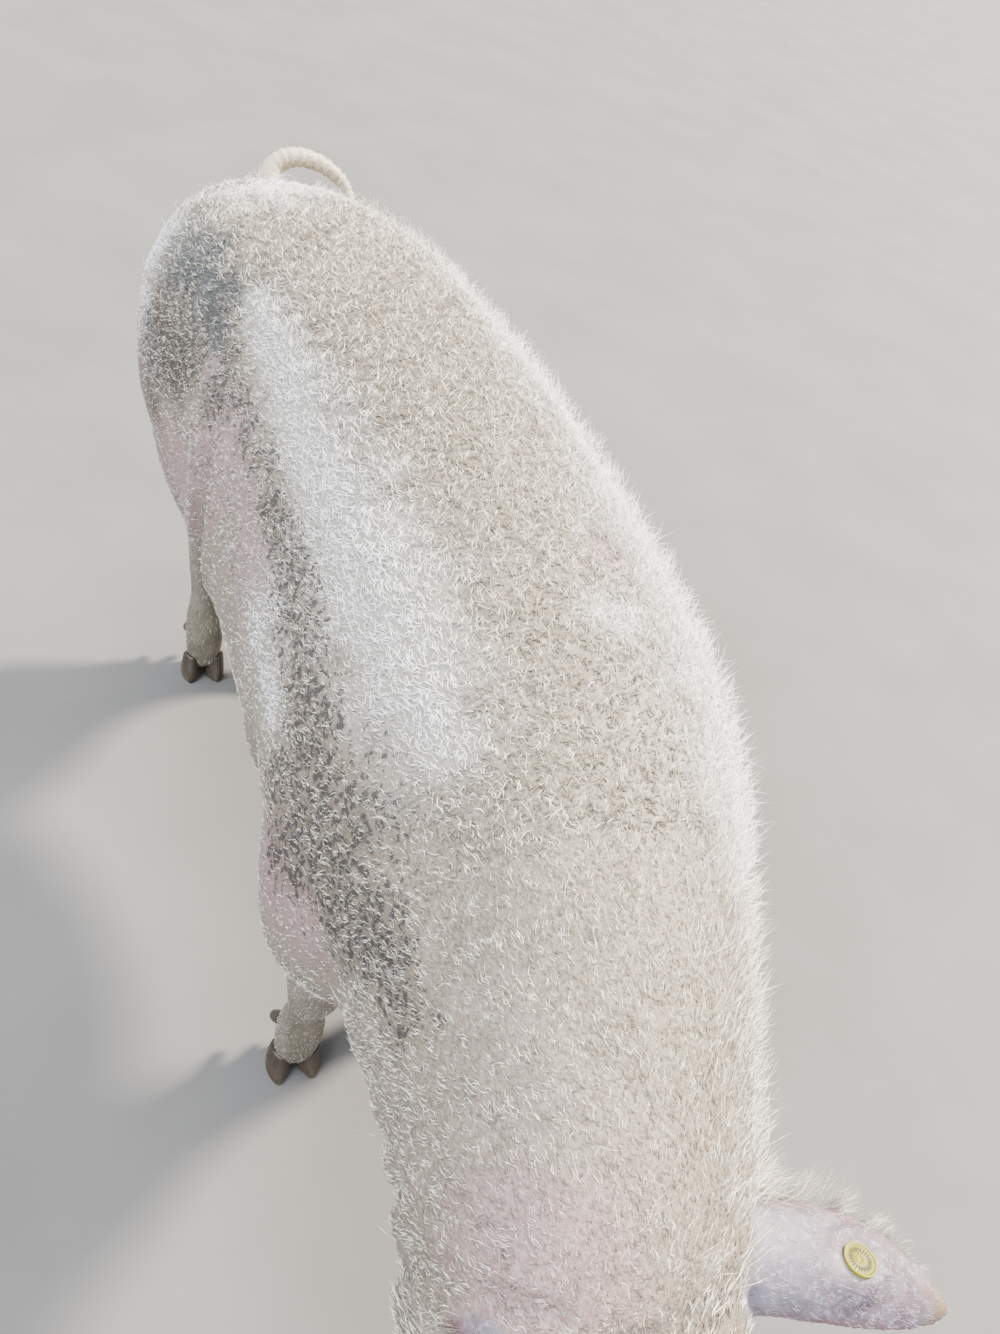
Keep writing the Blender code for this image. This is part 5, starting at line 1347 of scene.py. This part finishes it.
def pig_skin():
    """Living pig's hide: pink, matt and finely creased, tan with dust under the coat,
    mauve and flaky on the ears, and olive-grey with dried mud low on the legs."""
    material, tree, shader = new_material("pig_hide_dusty")
    vector = add_node(tree, "ShaderNodeTexCoord").outputs["Object"]
    broad = noise_at(tree, vector, 0.090, 4.0)
    middle = noise_at(tree, vector, 0.016, 4.0)
    streaks = add_node(tree, "ShaderNodeMapping", {"Scale": (1.0, 0.45, 1.0)}, Vector=vector).outputs["Vector"]
    under = spread(tree, noise_at(tree, streaks, 0.0022, 4.0, 0.7), 0.34, 0.68)
    colour = mix(tree, spread(tree, broad, 0.38, 0.62), "#5b4c3a", "#635547")
    colour = mix(tree, share(tree, "tan"), colour, "#524734")
    colour = mix(tree, share(tree, "white"), colour, "#767069")
    colour = mix(tree, share(tree, "pink"), colour, "#705152")
    colour = mix(tree, times(tree, under, 0.55), colour, "#948f85")
    colour = marked(tree, vector, colour, "#2e3132", "#3a3126", "#25201d")
    colour = mix(tree, times(tree, share(tree, "dirt"), spread(tree, middle, 0.25, 0.60, 0.45, 0.95)),
                 colour, "#454032")
    ear = mix(tree, spread(tree, middle, 0.36, 0.62), "#4c3a43", "#5f525c")
    flakes = spread(tree, noise_at(tree, vector, 0.0060, 6.0, 0.75), 0.51, 0.63)
    ear = mix(tree, times(tree, flakes, 0.80), ear, "#7f818e")
    ear = mix(tree, times(tree, share(tree, "rim"), 0.65), ear, "#5a3a39")
    ear = mix(tree, times(tree, share(tree, "downy"), 0.45), ear, "#6c6f79")
    ear = mix(tree, share(tree, "tip"), ear, "#5c4e3d")
    colour = mix(tree, share(tree, "ear"), colour, ear)
    muzzle = mix(tree, spread(tree, middle, 0.40, 0.62), "#725048", "#7e6056")
    colour = mix(tree, times(tree, share(tree, "muzzle"), 0.80), colour, muzzle)
    pores = spread(tree, noise_at(tree, vector, 0.0030, 3.0), 0.40, 0.62)
    colour = mix(tree, times(tree, share(tree, "disc"), 0.75), colour, mix(tree, pores, "#593d37", "#76564e"))
    colour = mix(tree, times(tree, share(tree, "tail"), 0.85), colour, "#b5a58f")
    colour = mix(tree, times(tree, share(tree, "lid"), 0.88), colour, "#351f1c")
    # Painted shade: a dark line along the mouth, where the lips meet.
    colour = mix(tree, times(tree, share(tree, "mouth"), 0.85), colour, "#2f1815")
    tree.links.new(colour, shader.inputs["Base Color"])
    shader.inputs["Roughness"].default_value = 0.62
    shader.inputs["Subsurface Weight"].default_value = 0.10
    shader.inputs["Subsurface Radius"].default_value = (0.010, 0.004, 0.002)
    creases = add_node(tree, "ShaderNodeTexVoronoi", {"feature": "DISTANCE_TO_EDGE", "Scale": 1.0 / 0.0024},
                       Vector=vector).outputs["Distance"]
    height = add_node(tree, "ShaderNodeMath", {"operation": "ADD"},
                      i0=spread(tree, creases, 0.0, 0.30), i1=noise_at(tree, vector, 0.0020, 3.0)).outputs[0]
    bump = add_node(tree, "ShaderNodeBump", {"Strength": 0.32, "Distance": 0.0005}, Height=height)
    tree.links.new(bump.outputs["Normal"], shader.inputs["Normal"])
    return material


def pig_bristle():
    """White pig's bristle: dry, crinkled hair, darker at the root with painted shade and bright at the tip, tan with
    dust along the back, with painted shade on the tufts that lie low in the coat and in the gaps between locks."""
    material, tree, shader = new_material("pig_bristle_white")
    vector = add_node(tree, "ShaderNodeTexCoord").outputs["Object"]
    broad = noise_at(tree, vector, 0.120, 3.0)
    patchy = noise_at(tree, vector, 0.010, 4.0, 0.65)
    shade = share(tree, "shade")
    colour = mix(tree, spread(tree, broad, 0.35, 0.65), "#8b8273", "#8f897b")
    colour = mix(tree, times(tree, share(tree, "tan"), 0.78), colour, "#725f3e")
    colour = mix(tree, share(tree, "white"), colour, "#f6f7f7")
    colour = mix(tree, times(tree, share(tree, "pink"), 0.80), colour, "#755d5c")
    colour = mix(tree, times(tree, share(tree, "tail"), 0.85), colour, "#f6ecdc")
    # How strongly the painted shade in the coat shows: fully on tan and grey hair, down to 0.42 on white hair.
    painted_shade_weight = spread(tree, share(tree, "white"), 0.0, 1.0, 1.0, 0.42)
    # Painted shade: dark flecks where the locks of hair part, laid by a 10 mm noise.
    low = times(tree, spread(tree, patchy, 0.38, 0.50, 0.80, 0.0), painted_shade_weight)
    colour = mix(tree, low, colour, "#5c513e")
    coarse = spread(tree, share(tree, "fine"), 0.0, 1.0, 1.0, 0.2)
    # Painted shade: the tufts that lie low in the coat, under the others, are darkened.
    below = times(tree, spread(tree, shade, 0.20, 0.62, 0.92, 0.0), coarse)
    below = times(tree, below, painted_shade_weight)
    colour = mix(tree, below, colour, mix(tree, share(tree, "pink"), "#4c4331", "#5c4445"))
    top = spread(tree, shade, 0.62, 0.90)
    tips = mix(tree, share(tree, "white"), "#fdf6e4", "#fefeff")
    tips = mix(tree, share(tree, "pink"), tips, "#d6c8cb")
    colour = mix(tree, times(tree, top, 0.90), colour, tips)
    gaps = noise_at(tree, vector, 0.0075, 4.0, 0.62)
    shadow = times(tree, times(tree, spread(tree, gaps, 0.40, 0.53, 0.82, 0.0), painted_shade_weight), coarse)
    colour = mix(tree, shadow, colour, "#514635")
    colour = mix(tree, times(tree, share(tree, "ear"), 0.80), colour, "#66616f")
    spotted = marked(tree, vector, colour, "#383c3a", "#493b2a", "#201d19")
    colour = mix(tree, times(tree, top, 0.60), spotted, colour)
    colour = mix(tree, times(tree, share(tree, "dirt"), 0.75), colour, "#4c4635")
    # Painted shade: each tuft darkens towards its root, deep in the coat by the skin.
    root = times(tree, spread(tree, share(tree, "along"), 0.0, 0.50, 0.80, 0.0),
                 spread(tree, share(tree, "fine"), 0.0, 1.0, 1.0, 0.05))
    root = times(tree, root, painted_shade_weight)
    colour = mix(tree, root, colour, "#3b3221")
    tree.links.new(colour, shader.inputs["Base Color"])
    shader.inputs["Roughness"].default_value = 0.42
    shader.inputs["Sheen Weight"].default_value = 0.30
    shader.inputs["Sheen Roughness"].default_value = 0.4
    return material


def hoof_horn():
    """Hoof horn: dark brown and worn satin, with fibres that run down it, faint rings
    of growth and dust near the ground."""
    material, tree, shader = new_material("hoof_horn_amber")
    vector = add_node(tree, "ShaderNodeTexCoord").outputs["Object"]
    streaks = noise_at(tree, add_node(tree, "ShaderNodeMapping", {"Scale": (1.0, 1.0, 0.12)},
                                      Vector=vector).outputs["Vector"], 0.0022, 4.0)
    colour = mix(tree, spread(tree, streaks, 0.35, 0.65), "#211811", "#392c1e")
    height = add_node(tree, "ShaderNodeSeparateXYZ", Vector=vector).outputs["Z"]
    colour = mix(tree, spread(tree, height, 0.018, 0.044, 0.0, 0.60), colour, "#1b130d")
    worn = noise_at(tree, vector, 0.012, 4.0, 0.65)
    colour = mix(tree, times(tree, spread(tree, height, 0.0, 0.030, 0.95, 0.20), spread(tree, worn, 0.40, 0.58)),
                 colour, "#3e392e")
    tree.links.new(colour, shader.inputs["Base Color"])
    shader.inputs["Roughness"].default_value = 0.50
    bands = add_node(tree, "ShaderNodeTexWave", {"wave_type": "BANDS", "bands_direction": "Z",
                                                 "Scale": 1.0 / 0.0040 / 6.2832 * 2.0, "Distortion": 6.0,
                                                 "Detail": 3.0}, Vector=vector).outputs["Fac"]
    height = add_node(tree, "ShaderNodeMath", {"operation": "ADD"}, i0=times(tree, bands, 0.25),
                      i1=streaks).outputs[0]
    bump = add_node(tree, "ShaderNodeBump", {"Strength": 0.30, "Distance": 0.0004}, Height=height)
    tree.links.new(bump.outputs["Normal"], shader.inputs["Normal"])
    return material


def wet_eye():
    """Wet eye: brown iris round a dark pupil, bloodshot white at the rim, all under
    a clear film of tears."""
    material, tree, shader = new_material("eye_wet_brown")
    round_share = share(tree, "iris")
    vector = add_node(tree, "ShaderNodeTexCoord").outputs["Object"]
    fibres = noise_at(tree, vector, 0.0008, 3.0)
    iris = mix(tree, spread(tree, fibres, 0.35, 0.65), "#180d07", "#38220f")
    colour = mix(tree, spread(tree, round_share, 0.20, 0.25), "#020202", iris)
    colour = mix(tree, spread(tree, round_share, 0.56, 0.64), colour, "#b9a497")
    tree.links.new(colour, shader.inputs["Base Color"])
    shader.inputs["Roughness"].default_value = 0.12
    shader.inputs["Specular IOR Level"].default_value = 0.15
    shader.inputs["Coat Weight"].default_value = 0.45
    shader.inputs["Coat Roughness"].default_value = 0.03
    return material


def tag_plastic():
    """Moulded TPU: satin yellow plastic, scuffed, darker over the ring of ribs and in the sunk dot."""
    material, tree, shader = new_material("ear_tag_tpu_yellow")
    vector = add_node(tree, "ShaderNodeTexCoord").outputs["Object"]
    scuffs = noise_at(tree, vector, 0.0030, 5.0, 0.7)
    colour = mix(tree, spread(tree, scuffs, 0.35, 0.65), "#5c5900", "#757100")
    # Darker over the ring of ribs and in the sunk dot.
    colour = mix(tree, times(tree, share(tree, "dark_ring_and_dot"), spread(tree, scuffs, 0.30, 0.60, 0.55, 0.95)),
                 colour, "#1c1a00")
    tree.links.new(colour, shader.inputs["Base Color"])
    tree.links.new(spread(tree, scuffs, 0.3, 0.7, 0.32, 0.55), shader.inputs["Roughness"])
    shader.inputs["Specular IOR Level"].default_value = 0.20
    bump = add_node(tree, "ShaderNodeBump", {"Strength": 0.2, "Distance": 0.0003}, Height=scuffs)
    tree.links.new(bump.outputs["Normal"], shader.inputs["Normal"])
    return material


def give(obj, material):
    """Put a material on a piece in place of what it has."""
    obj.data.materials.clear()
    obj.data.materials.append(material)


# ---------------------------------------------------------------- eyes, claws and tag

def start_edit(obj):
    """Select one object alone and open it for editing, with all of it selected."""
    bpy.ops.object.select_all(action="DESELECT")
    obj.select_set(True)
    bpy.context.view_layer.objects.active = obj
    bpy.ops.object.mode_set(mode="EDIT")
    bpy.ops.mesh.select_mode(type="FACE")
    bpy.ops.mesh.select_all(action="SELECT")


def select_faces(obj, test):
    """Select the faces whose middle and facing pass a test."""
    bm = bmesh.from_edit_mesh(obj.data)
    for face in bm.faces:
        face.select_set(bool(test(face.calc_center_median(), face.normal)))
    bm.select_flush(False)
    bmesh.update_edit_mesh(obj.data)


def end_edit():
    """Close the editing of the open object."""
    bpy.ops.object.mode_set(mode="OBJECT")


def finish_object(obj, name):
    """Name a piece and put its place into its mesh."""
    obj.name = name
    obj.data.name = name
    bpy.ops.object.select_all(action="DESELECT")
    obj.select_set(True)
    bpy.context.view_layer.objects.active = obj
    bpy.ops.object.transform_apply(location=True, rotation=True, scale=True)
    return obj


def modifier(obj, kind, **settings):
    """Add a modifier and apply it."""
    bpy.ops.object.select_all(action="DESELECT")
    obj.select_set(True)
    bpy.context.view_layer.objects.active = obj
    step = obj.modifiers.new(kind.lower(), kind)
    for name, value in settings.items():
        setattr(step, name, value)
    bpy.ops.object.modifier_apply(modifier=step.name)


def placed(obj, name, turn):
    """A copy of a piece with its own mesh, turned and moved into place."""
    copy = add_object(name, obj.data.copy())
    copy.data.name = name
    copy.data.transform(turn)
    copy.data.update()
    return copy


CORNEA_BULGE = 0.0012


def eye_piece(name, centre, facing):
    """An eyeball with a bulging cornea and how far each point is from its middle."""
    bpy.ops.mesh.primitive_uv_sphere_add(segments=48, ring_count=32, radius=EYE_RADIUS - 0.0001)
    ball = bpy.context.active_object
    bpy.ops.object.shade_smooth()
    places = vertex_array(ball.data)
    from_middle = np.arccos(np.clip(places[:, 2] / np.linalg.norm(places, axis=1), -1, 1)) / (math.pi / 2)
    bulge = 1 + CORNEA_BULGE / EYE_RADIUS * np.exp(-(from_middle / 0.42) ** 4)
    put_vertices(ball.data, places * bulge[:, None])
    give_shares(ball.data, {"iris": from_middle})
    ball.data.transform(Matrix.Translation(centre) @ facing.to_track_quat("Z", "Y").to_matrix().to_4x4())
    return finish_object(ball, name)


CLAW_LENGTH, CLAW_HALF_WIDTH, CLAW_HEIGHT, CLAW_APART = 0.066, 0.0185, 0.050, 0.0215
CLAW_SPLAY, CLAW_POINTED = math.radians(7.0), 0.30
# Claw: height, length, width and how far back, each as a share of its whole
CLAW_PROFILE = ((0.0, 0.94, 0.94, 0.0), (0.05, 1.0, 1.0, 0.002), (0.40, 0.90, 0.98, 0.04),
                (0.75, 0.76, 0.92, 0.09), (1.0, 0.66, 0.84, 0.12))
CLAW_RINGS = 12
RING_SWELL, HEEL_LOW = 0.004, 0.34


def claw_piece():
    """One claw at the origin: a drum drawn up ring by ring, pointed in front."""
    bpy.ops.object.select_all(action="DESELECT")
    bpy.ops.mesh.primitive_circle_add(vertices=40, radius=1.0, fill_type="NGON")
    claw = bpy.context.active_object
    start_edit(claw)
    for _ in range(CLAW_RINGS):
        bpy.ops.mesh.extrude_region_move(TRANSFORM_OT_translate={"value": (0, 0, 1.0 / CLAW_RINGS)})
    bpy.ops.mesh.inset(thickness=0.25, depth=0.02)
    bpy.ops.mesh.select_all(action="SELECT")
    bpy.ops.mesh.normals_make_consistent(inside=False)
    end_edit()
    places = vertex_array(claw.data)
    heights = np.array([row[0] for row in CLAW_PROFILE])
    length, width, back = (np.interp(np.clip(places[:, 2], 0, 1), heights, [row[k] for row in CLAW_PROFILE])
                           for k in (1, 2, 3))
    ring_number = np.round(places[:, 2] * CLAW_RINGS)
    swell = 1 + RING_SWELL * np.where(ring_number % 2 == 1, 1.0, -0.6) * (places[:, 2] > 0.1)
    front = np.maximum(-places[:, 1], 0)
    pointed = 1 - CLAW_POINTED * front ** 2
    shaped = np.stack((places[:, 0] * CLAW_HALF_WIDTH * width * pointed * swell,
                       places[:, 1] * CLAW_LENGTH / 2 * length * swell + CLAW_LENGTH * back,
                       places[:, 2] * CLAW_HEIGHT * (1 - HEEL_LOW * step_up(-0.5, 0.9, places[:, 1]))), axis=1)
    put_vertices(claw.data, shaped)
    modifier(claw, "BEVEL", width=0.0012, segments=2, limit_method="ANGLE", angle_limit=math.radians(50))
    modifier(claw, "SUBSURF", levels=1, render_levels=1)
    bpy.ops.object.shade_smooth()
    return claw


DEW_RADIUS = 0.0105
DEW_START, DEW_RUN = Vector((0.0, 0.024, 0.090)), Vector((0.0, 0.022, -0.030))
DEW_APART, DEW_SPREAD, DEW_BACK = 0.022, 0.25, {"fore": 0.008, "hind": 0.016}
DEW_PROFILE = ((-0.35, 0.80), (0.00, 0.90), (0.20, 0.96), (0.30, 0.92), (0.45, 0.94), (0.55, 0.88),
               (0.75, 0.80), (0.90, 0.62), (1.0, 0.38), (1.03, 0.10))


def dew_claw_piece(sign, back):
    """One dew claw at the origin, a short ringed cone that runs down and back."""
    bpy.ops.object.select_all(action="DESELECT")
    bpy.ops.mesh.primitive_cylinder_add(vertices=24, radius=1.0, depth=2.0)
    dew = bpy.context.active_object
    start_edit(dew)
    select_faces(dew, lambda middle, facing: facing.z > 0.9)
    for _ in range(len(DEW_PROFILE) - 2):
        bpy.ops.mesh.extrude_region_move(TRANSFORM_OT_translate={"value": (0, 0, 1.0)})
    end_edit()
    places = vertex_array(dew.data)
    stage = np.where(places[:, 2] < 0, 0, np.round(places[:, 2])).astype(int)
    shares = np.array([row[0] for row in DEW_PROFILE])[stage]
    radii = np.array([row[1] for row in DEW_PROFILE])[stage] * DEW_RADIUS
    ahead = DEW_RUN + Vector((sign * DEW_APART * DEW_SPREAD, 0, 0))
    across = ahead.cross(Vector((0.03, 0.02, 1))).normalized()
    over = across.cross(ahead).normalized()
    start = np.array(DEW_START + Vector((sign * DEW_APART, back, 0)))
    flat = unit(places[:, :2])
    shaped = (start + np.array(ahead) * shares[:, None]
              + np.array(across) * (flat[:, 0] * radii)[:, None] + np.array(over) * (flat[:, 1] * radii)[:, None])
    put_vertices(dew.data, shaped)
    start_edit(dew)
    bpy.ops.mesh.normals_make_consistent(inside=False)
    end_edit()
    modifier(dew, "SUBSURF", levels=1, render_levels=1)
    bpy.ops.object.shade_smooth()
    return dew


TAG_RADIUS, TAG_THICK, TAG_SEAT, TAG_RIBS = 0.0135, 0.0030, 0.0012, 24


def tag_piece(name, place, facing):
    """One disc of the tag: raised rim, a ring of small ribs, and a boss with a sunk dot."""
    bpy.ops.object.select_all(action="DESELECT")
    bpy.ops.mesh.primitive_cylinder_add(vertices=TAG_RIBS * 4, radius=TAG_RADIUS, depth=TAG_THICK,
                                        location=(0, 0, TAG_THICK / 2))
    disc = bpy.context.active_object
    bpy.ops.object.transform_apply(location=True, rotation=False, scale=False)
    start_edit(disc)
    select_faces(disc, lambda middle, normal: normal.z > 0.9)
    for thickness, depth in ((0.0006, 0.0), (0.0010, 0.0), (0.0005, -0.0006), (0.0006, 0.0), (0.0026, 0.0),
                             (0.0006, 0.0), (0.0038, 0.0), (0.0005, 0.0005), (0.0012, 0.0), (0.0003, -0.0006)):
        bpy.ops.mesh.inset(thickness=thickness, depth=depth)
    end_edit()
    places = vertex_array(disc.data)
    radius = np.linalg.norm(places[:, :2], axis=1)
    angle = np.arctan2(places[:, 1], places[:, 0])
    band = (radius > 0.0066) & (radius < 0.0106) & (places[:, 2] > 0.001)
    quarter = np.round(angle / (2 * math.pi) * TAG_RIBS * 4).astype(int) % 4
    places[:, 2] += np.where(band & (quarter < 2), 0.0004, 0.0)
    put_vertices(disc.data, places)
    # The ring of ribs and the sunk dot, which the tag's material darkens.
    give_shares(disc.data, {"dark_ring_and_dot": band.astype(float) + (radius < 0.0012)})
    modifier(disc, "BEVEL", width=0.0003, segments=2, limit_method="ANGLE", angle_limit=math.radians(40))
    bpy.ops.object.shade_smooth_by_angle(angle=math.radians(35))
    turn = Matrix.Translation(place - facing * TAG_SEAT) @ facing.to_track_quat("Z", "Y").to_matrix().to_4x4()
    disc.data.transform(turn)
    return finish_object(disc, name)


def shifted(obj):
    """Shift a piece from the pig's frame onto the solids."""
    obj.data.transform(SHIFT)
    return obj


def sole_shift():
    """From the pig's frame to the solids', read off the soles of the fore right foot."""
    soles = [vert.co for label in ("right", "left")
             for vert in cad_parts["claw_fore_right_" + label].data.vertices if vert.co.z < 0.0005]
    middle = [(min(p[i] for p in soles) + max(p[i] for p in soles)) / 2 for i in range(2)]
    return Matrix.Translation((middle[0] - FEET["fore_right"][0], middle[1] - FEET["fore_right"][1], 0))


SHIFT = sole_shift()


def settle_in(piece, material, slot, *nodes):
    """Give a piece its material and body, and hide the solids that it stands for; the slot is not used."""
    give(piece, material)
    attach(piece, "root")
    if nodes:
        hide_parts(*nodes)


def dress():
    """Give every piece its place, material, body and the solids it stands for."""
    hide, bristle, horn, wet, plastic = pig_skin(), pig_bristle(), hoof_horn(), wet_eye(), tag_plastic()
    flesh_nodes = ["torso", "neck", "head", "ear_left", "ear_right", "tail"]
    flesh_nodes += [f"leg_{part}_{foot}" for part in ("upper", "lower") for foot in FEET]
    settle_in(shifted(skin), hide, "hide", *flesh_nodes)
    skin.data.shade_smooth()
    for piece in coat:
        settle_in(shifted(piece), bristle, "hide")
    for name, (centre, facing, _) in EYES.items():
        ball = shifted(eye_piece("eye_ball_" + name, centre, facing))
        settle_in(ball, wet, "eye", "eye_" + name)
    claw = claw_piece()
    for foot, (x, y) in FEET.items():
        for label, sign in (("right", -1), ("left", 1)):
            turn = Matrix.Translation((x, y, 0)) @ Matrix.Rotation(sign * CLAW_SPLAY, 4, "Z")
            turn = turn @ Matrix.Translation((sign * CLAW_APART, 0, 0))
            horn_piece = shifted(placed(claw, f"horn_{foot}_{label}", turn))
            dew = dew_claw_piece(sign, DEW_BACK[foot[:4]])
            dew_piece = shifted(placed(dew, f"horn_dew_{foot}_{label}", Matrix.Translation((x, y, 0))))
            bpy.data.objects.remove(dew, do_unlink=True)
            for piece, node in ((horn_piece, "claw"), (dew_piece, "dew_claw")):
                settle_in(piece, horn, "hoof_horn", f"{node}_{foot}_{label}")
    bpy.data.objects.remove(claw, do_unlink=True)
    place = tag_seat()[0]
    for name, centre, out in (("front", place, TAG_FACING),
                              ("back", place - TAG_FACING * EAR_THICK, -TAG_FACING)):
        settle_in(shifted(tag_piece("ear_tag_" + name, centre, out)), plastic, "ear_tag", "tag_" + name)


dress()


# ---------------------------------------------------------------- floor, light and camera

CAMERA_UP = Vector((0.278, 0.6775, 0.680))
CAMERA_DOWN = Vector((0.2578, 0.6283, -0.7331))
CAMERA_LEVEL = Vector((0.925, -0.380, 0.0))
CAMERA_ROLL = math.radians(34.0)
CAMERA_AT = Vector((-0.435, -0.969, 1.5))
FOCAL_PIXELS, PHOTO_HEIGHT, SENSOR = 1015.0, 1334.0, 36.0
FLOOR_SIZE = 60.0


def concrete_floor():
    """Pale screeded concrete: faint clouding and a fine grit."""
    bpy.ops.object.select_all(action="DESELECT")
    bpy.ops.mesh.primitive_plane_add(size=FLOOR_SIZE)
    floor = bpy.context.active_object
    floor.name = "floor"
    material, tree, shader = new_material("concrete_pale")
    vector = add_node(tree, "ShaderNodeTexCoord").outputs["Object"]
    colour = mix(tree, spread(tree, noise_at(tree, vector, 0.4, 5.0), 0.3, 0.7), "#504f4e", "#575655")
    tree.links.new(colour, shader.inputs["Base Color"])
    shader.inputs["Roughness"].default_value = 0.85
    give(floor, material)


def sun_light(name, place, angle, power, colour):
    """An even, soft light that comes from a direction; a wide angle softens its shadows."""
    light = bpy.data.lights.new(name, "SUN")
    light.angle = math.radians(angle)
    light.energy = power
    light.color = linear(colour)[:3]
    obj = bpy.data.objects.new(name, light)
    bpy.context.scene.collection.objects.link(obj)
    obj.location = place
    obj.rotation_euler = (-Vector(place)).to_track_quat("-Z", "Y").to_euler()


def set_stage():
    """Floor, lights, world and the camera at the photograph's angle."""
    concrete_floor()
    sun_light("key", (3.0, 0.7, 2.5), 7.0, 25.0, "#fff0dc")
    sun_light("sky", (-0.6, 0.3, 5.0), 40.0, 9.6, "#f8f9fb")
    sun_light("fill", (-3.4, -1.6, 2.4), 35.0, 5.8, "#e8f1ff")
    world = bpy.data.worlds.new("studio")
    bpy.context.scene.world = world
    world.use_nodes = True
    ground = world.node_tree.nodes["Background"]
    ground.inputs["Color"].default_value = linear("#dfe3e6")
    ground.inputs["Strength"].default_value = 1.80
    columns = Matrix((CAMERA_LEVEL * math.cos(CAMERA_ROLL) + CAMERA_DOWN * math.sin(CAMERA_ROLL),
                      CAMERA_DOWN * math.cos(CAMERA_ROLL) - CAMERA_LEVEL * math.sin(CAMERA_ROLL),
                      CAMERA_UP))
    lens = bpy.data.cameras.new("photo_camera")
    lens.sensor_fit = "VERTICAL"
    lens.sensor_height = SENSOR
    lens.sensor_width = SENSOR
    lens.lens = FOCAL_PIXELS / PHOTO_HEIGHT * SENSOR
    lens.clip_start = 0.01
    camera = bpy.data.objects.new("photo_camera", lens)
    bpy.context.scene.collection.objects.link(camera)
    camera.matrix_world = Matrix.Translation(SHIFT @ CAMERA_AT) @ columns.to_4x4()
    bpy.context.scene.camera = camera


set_stage()
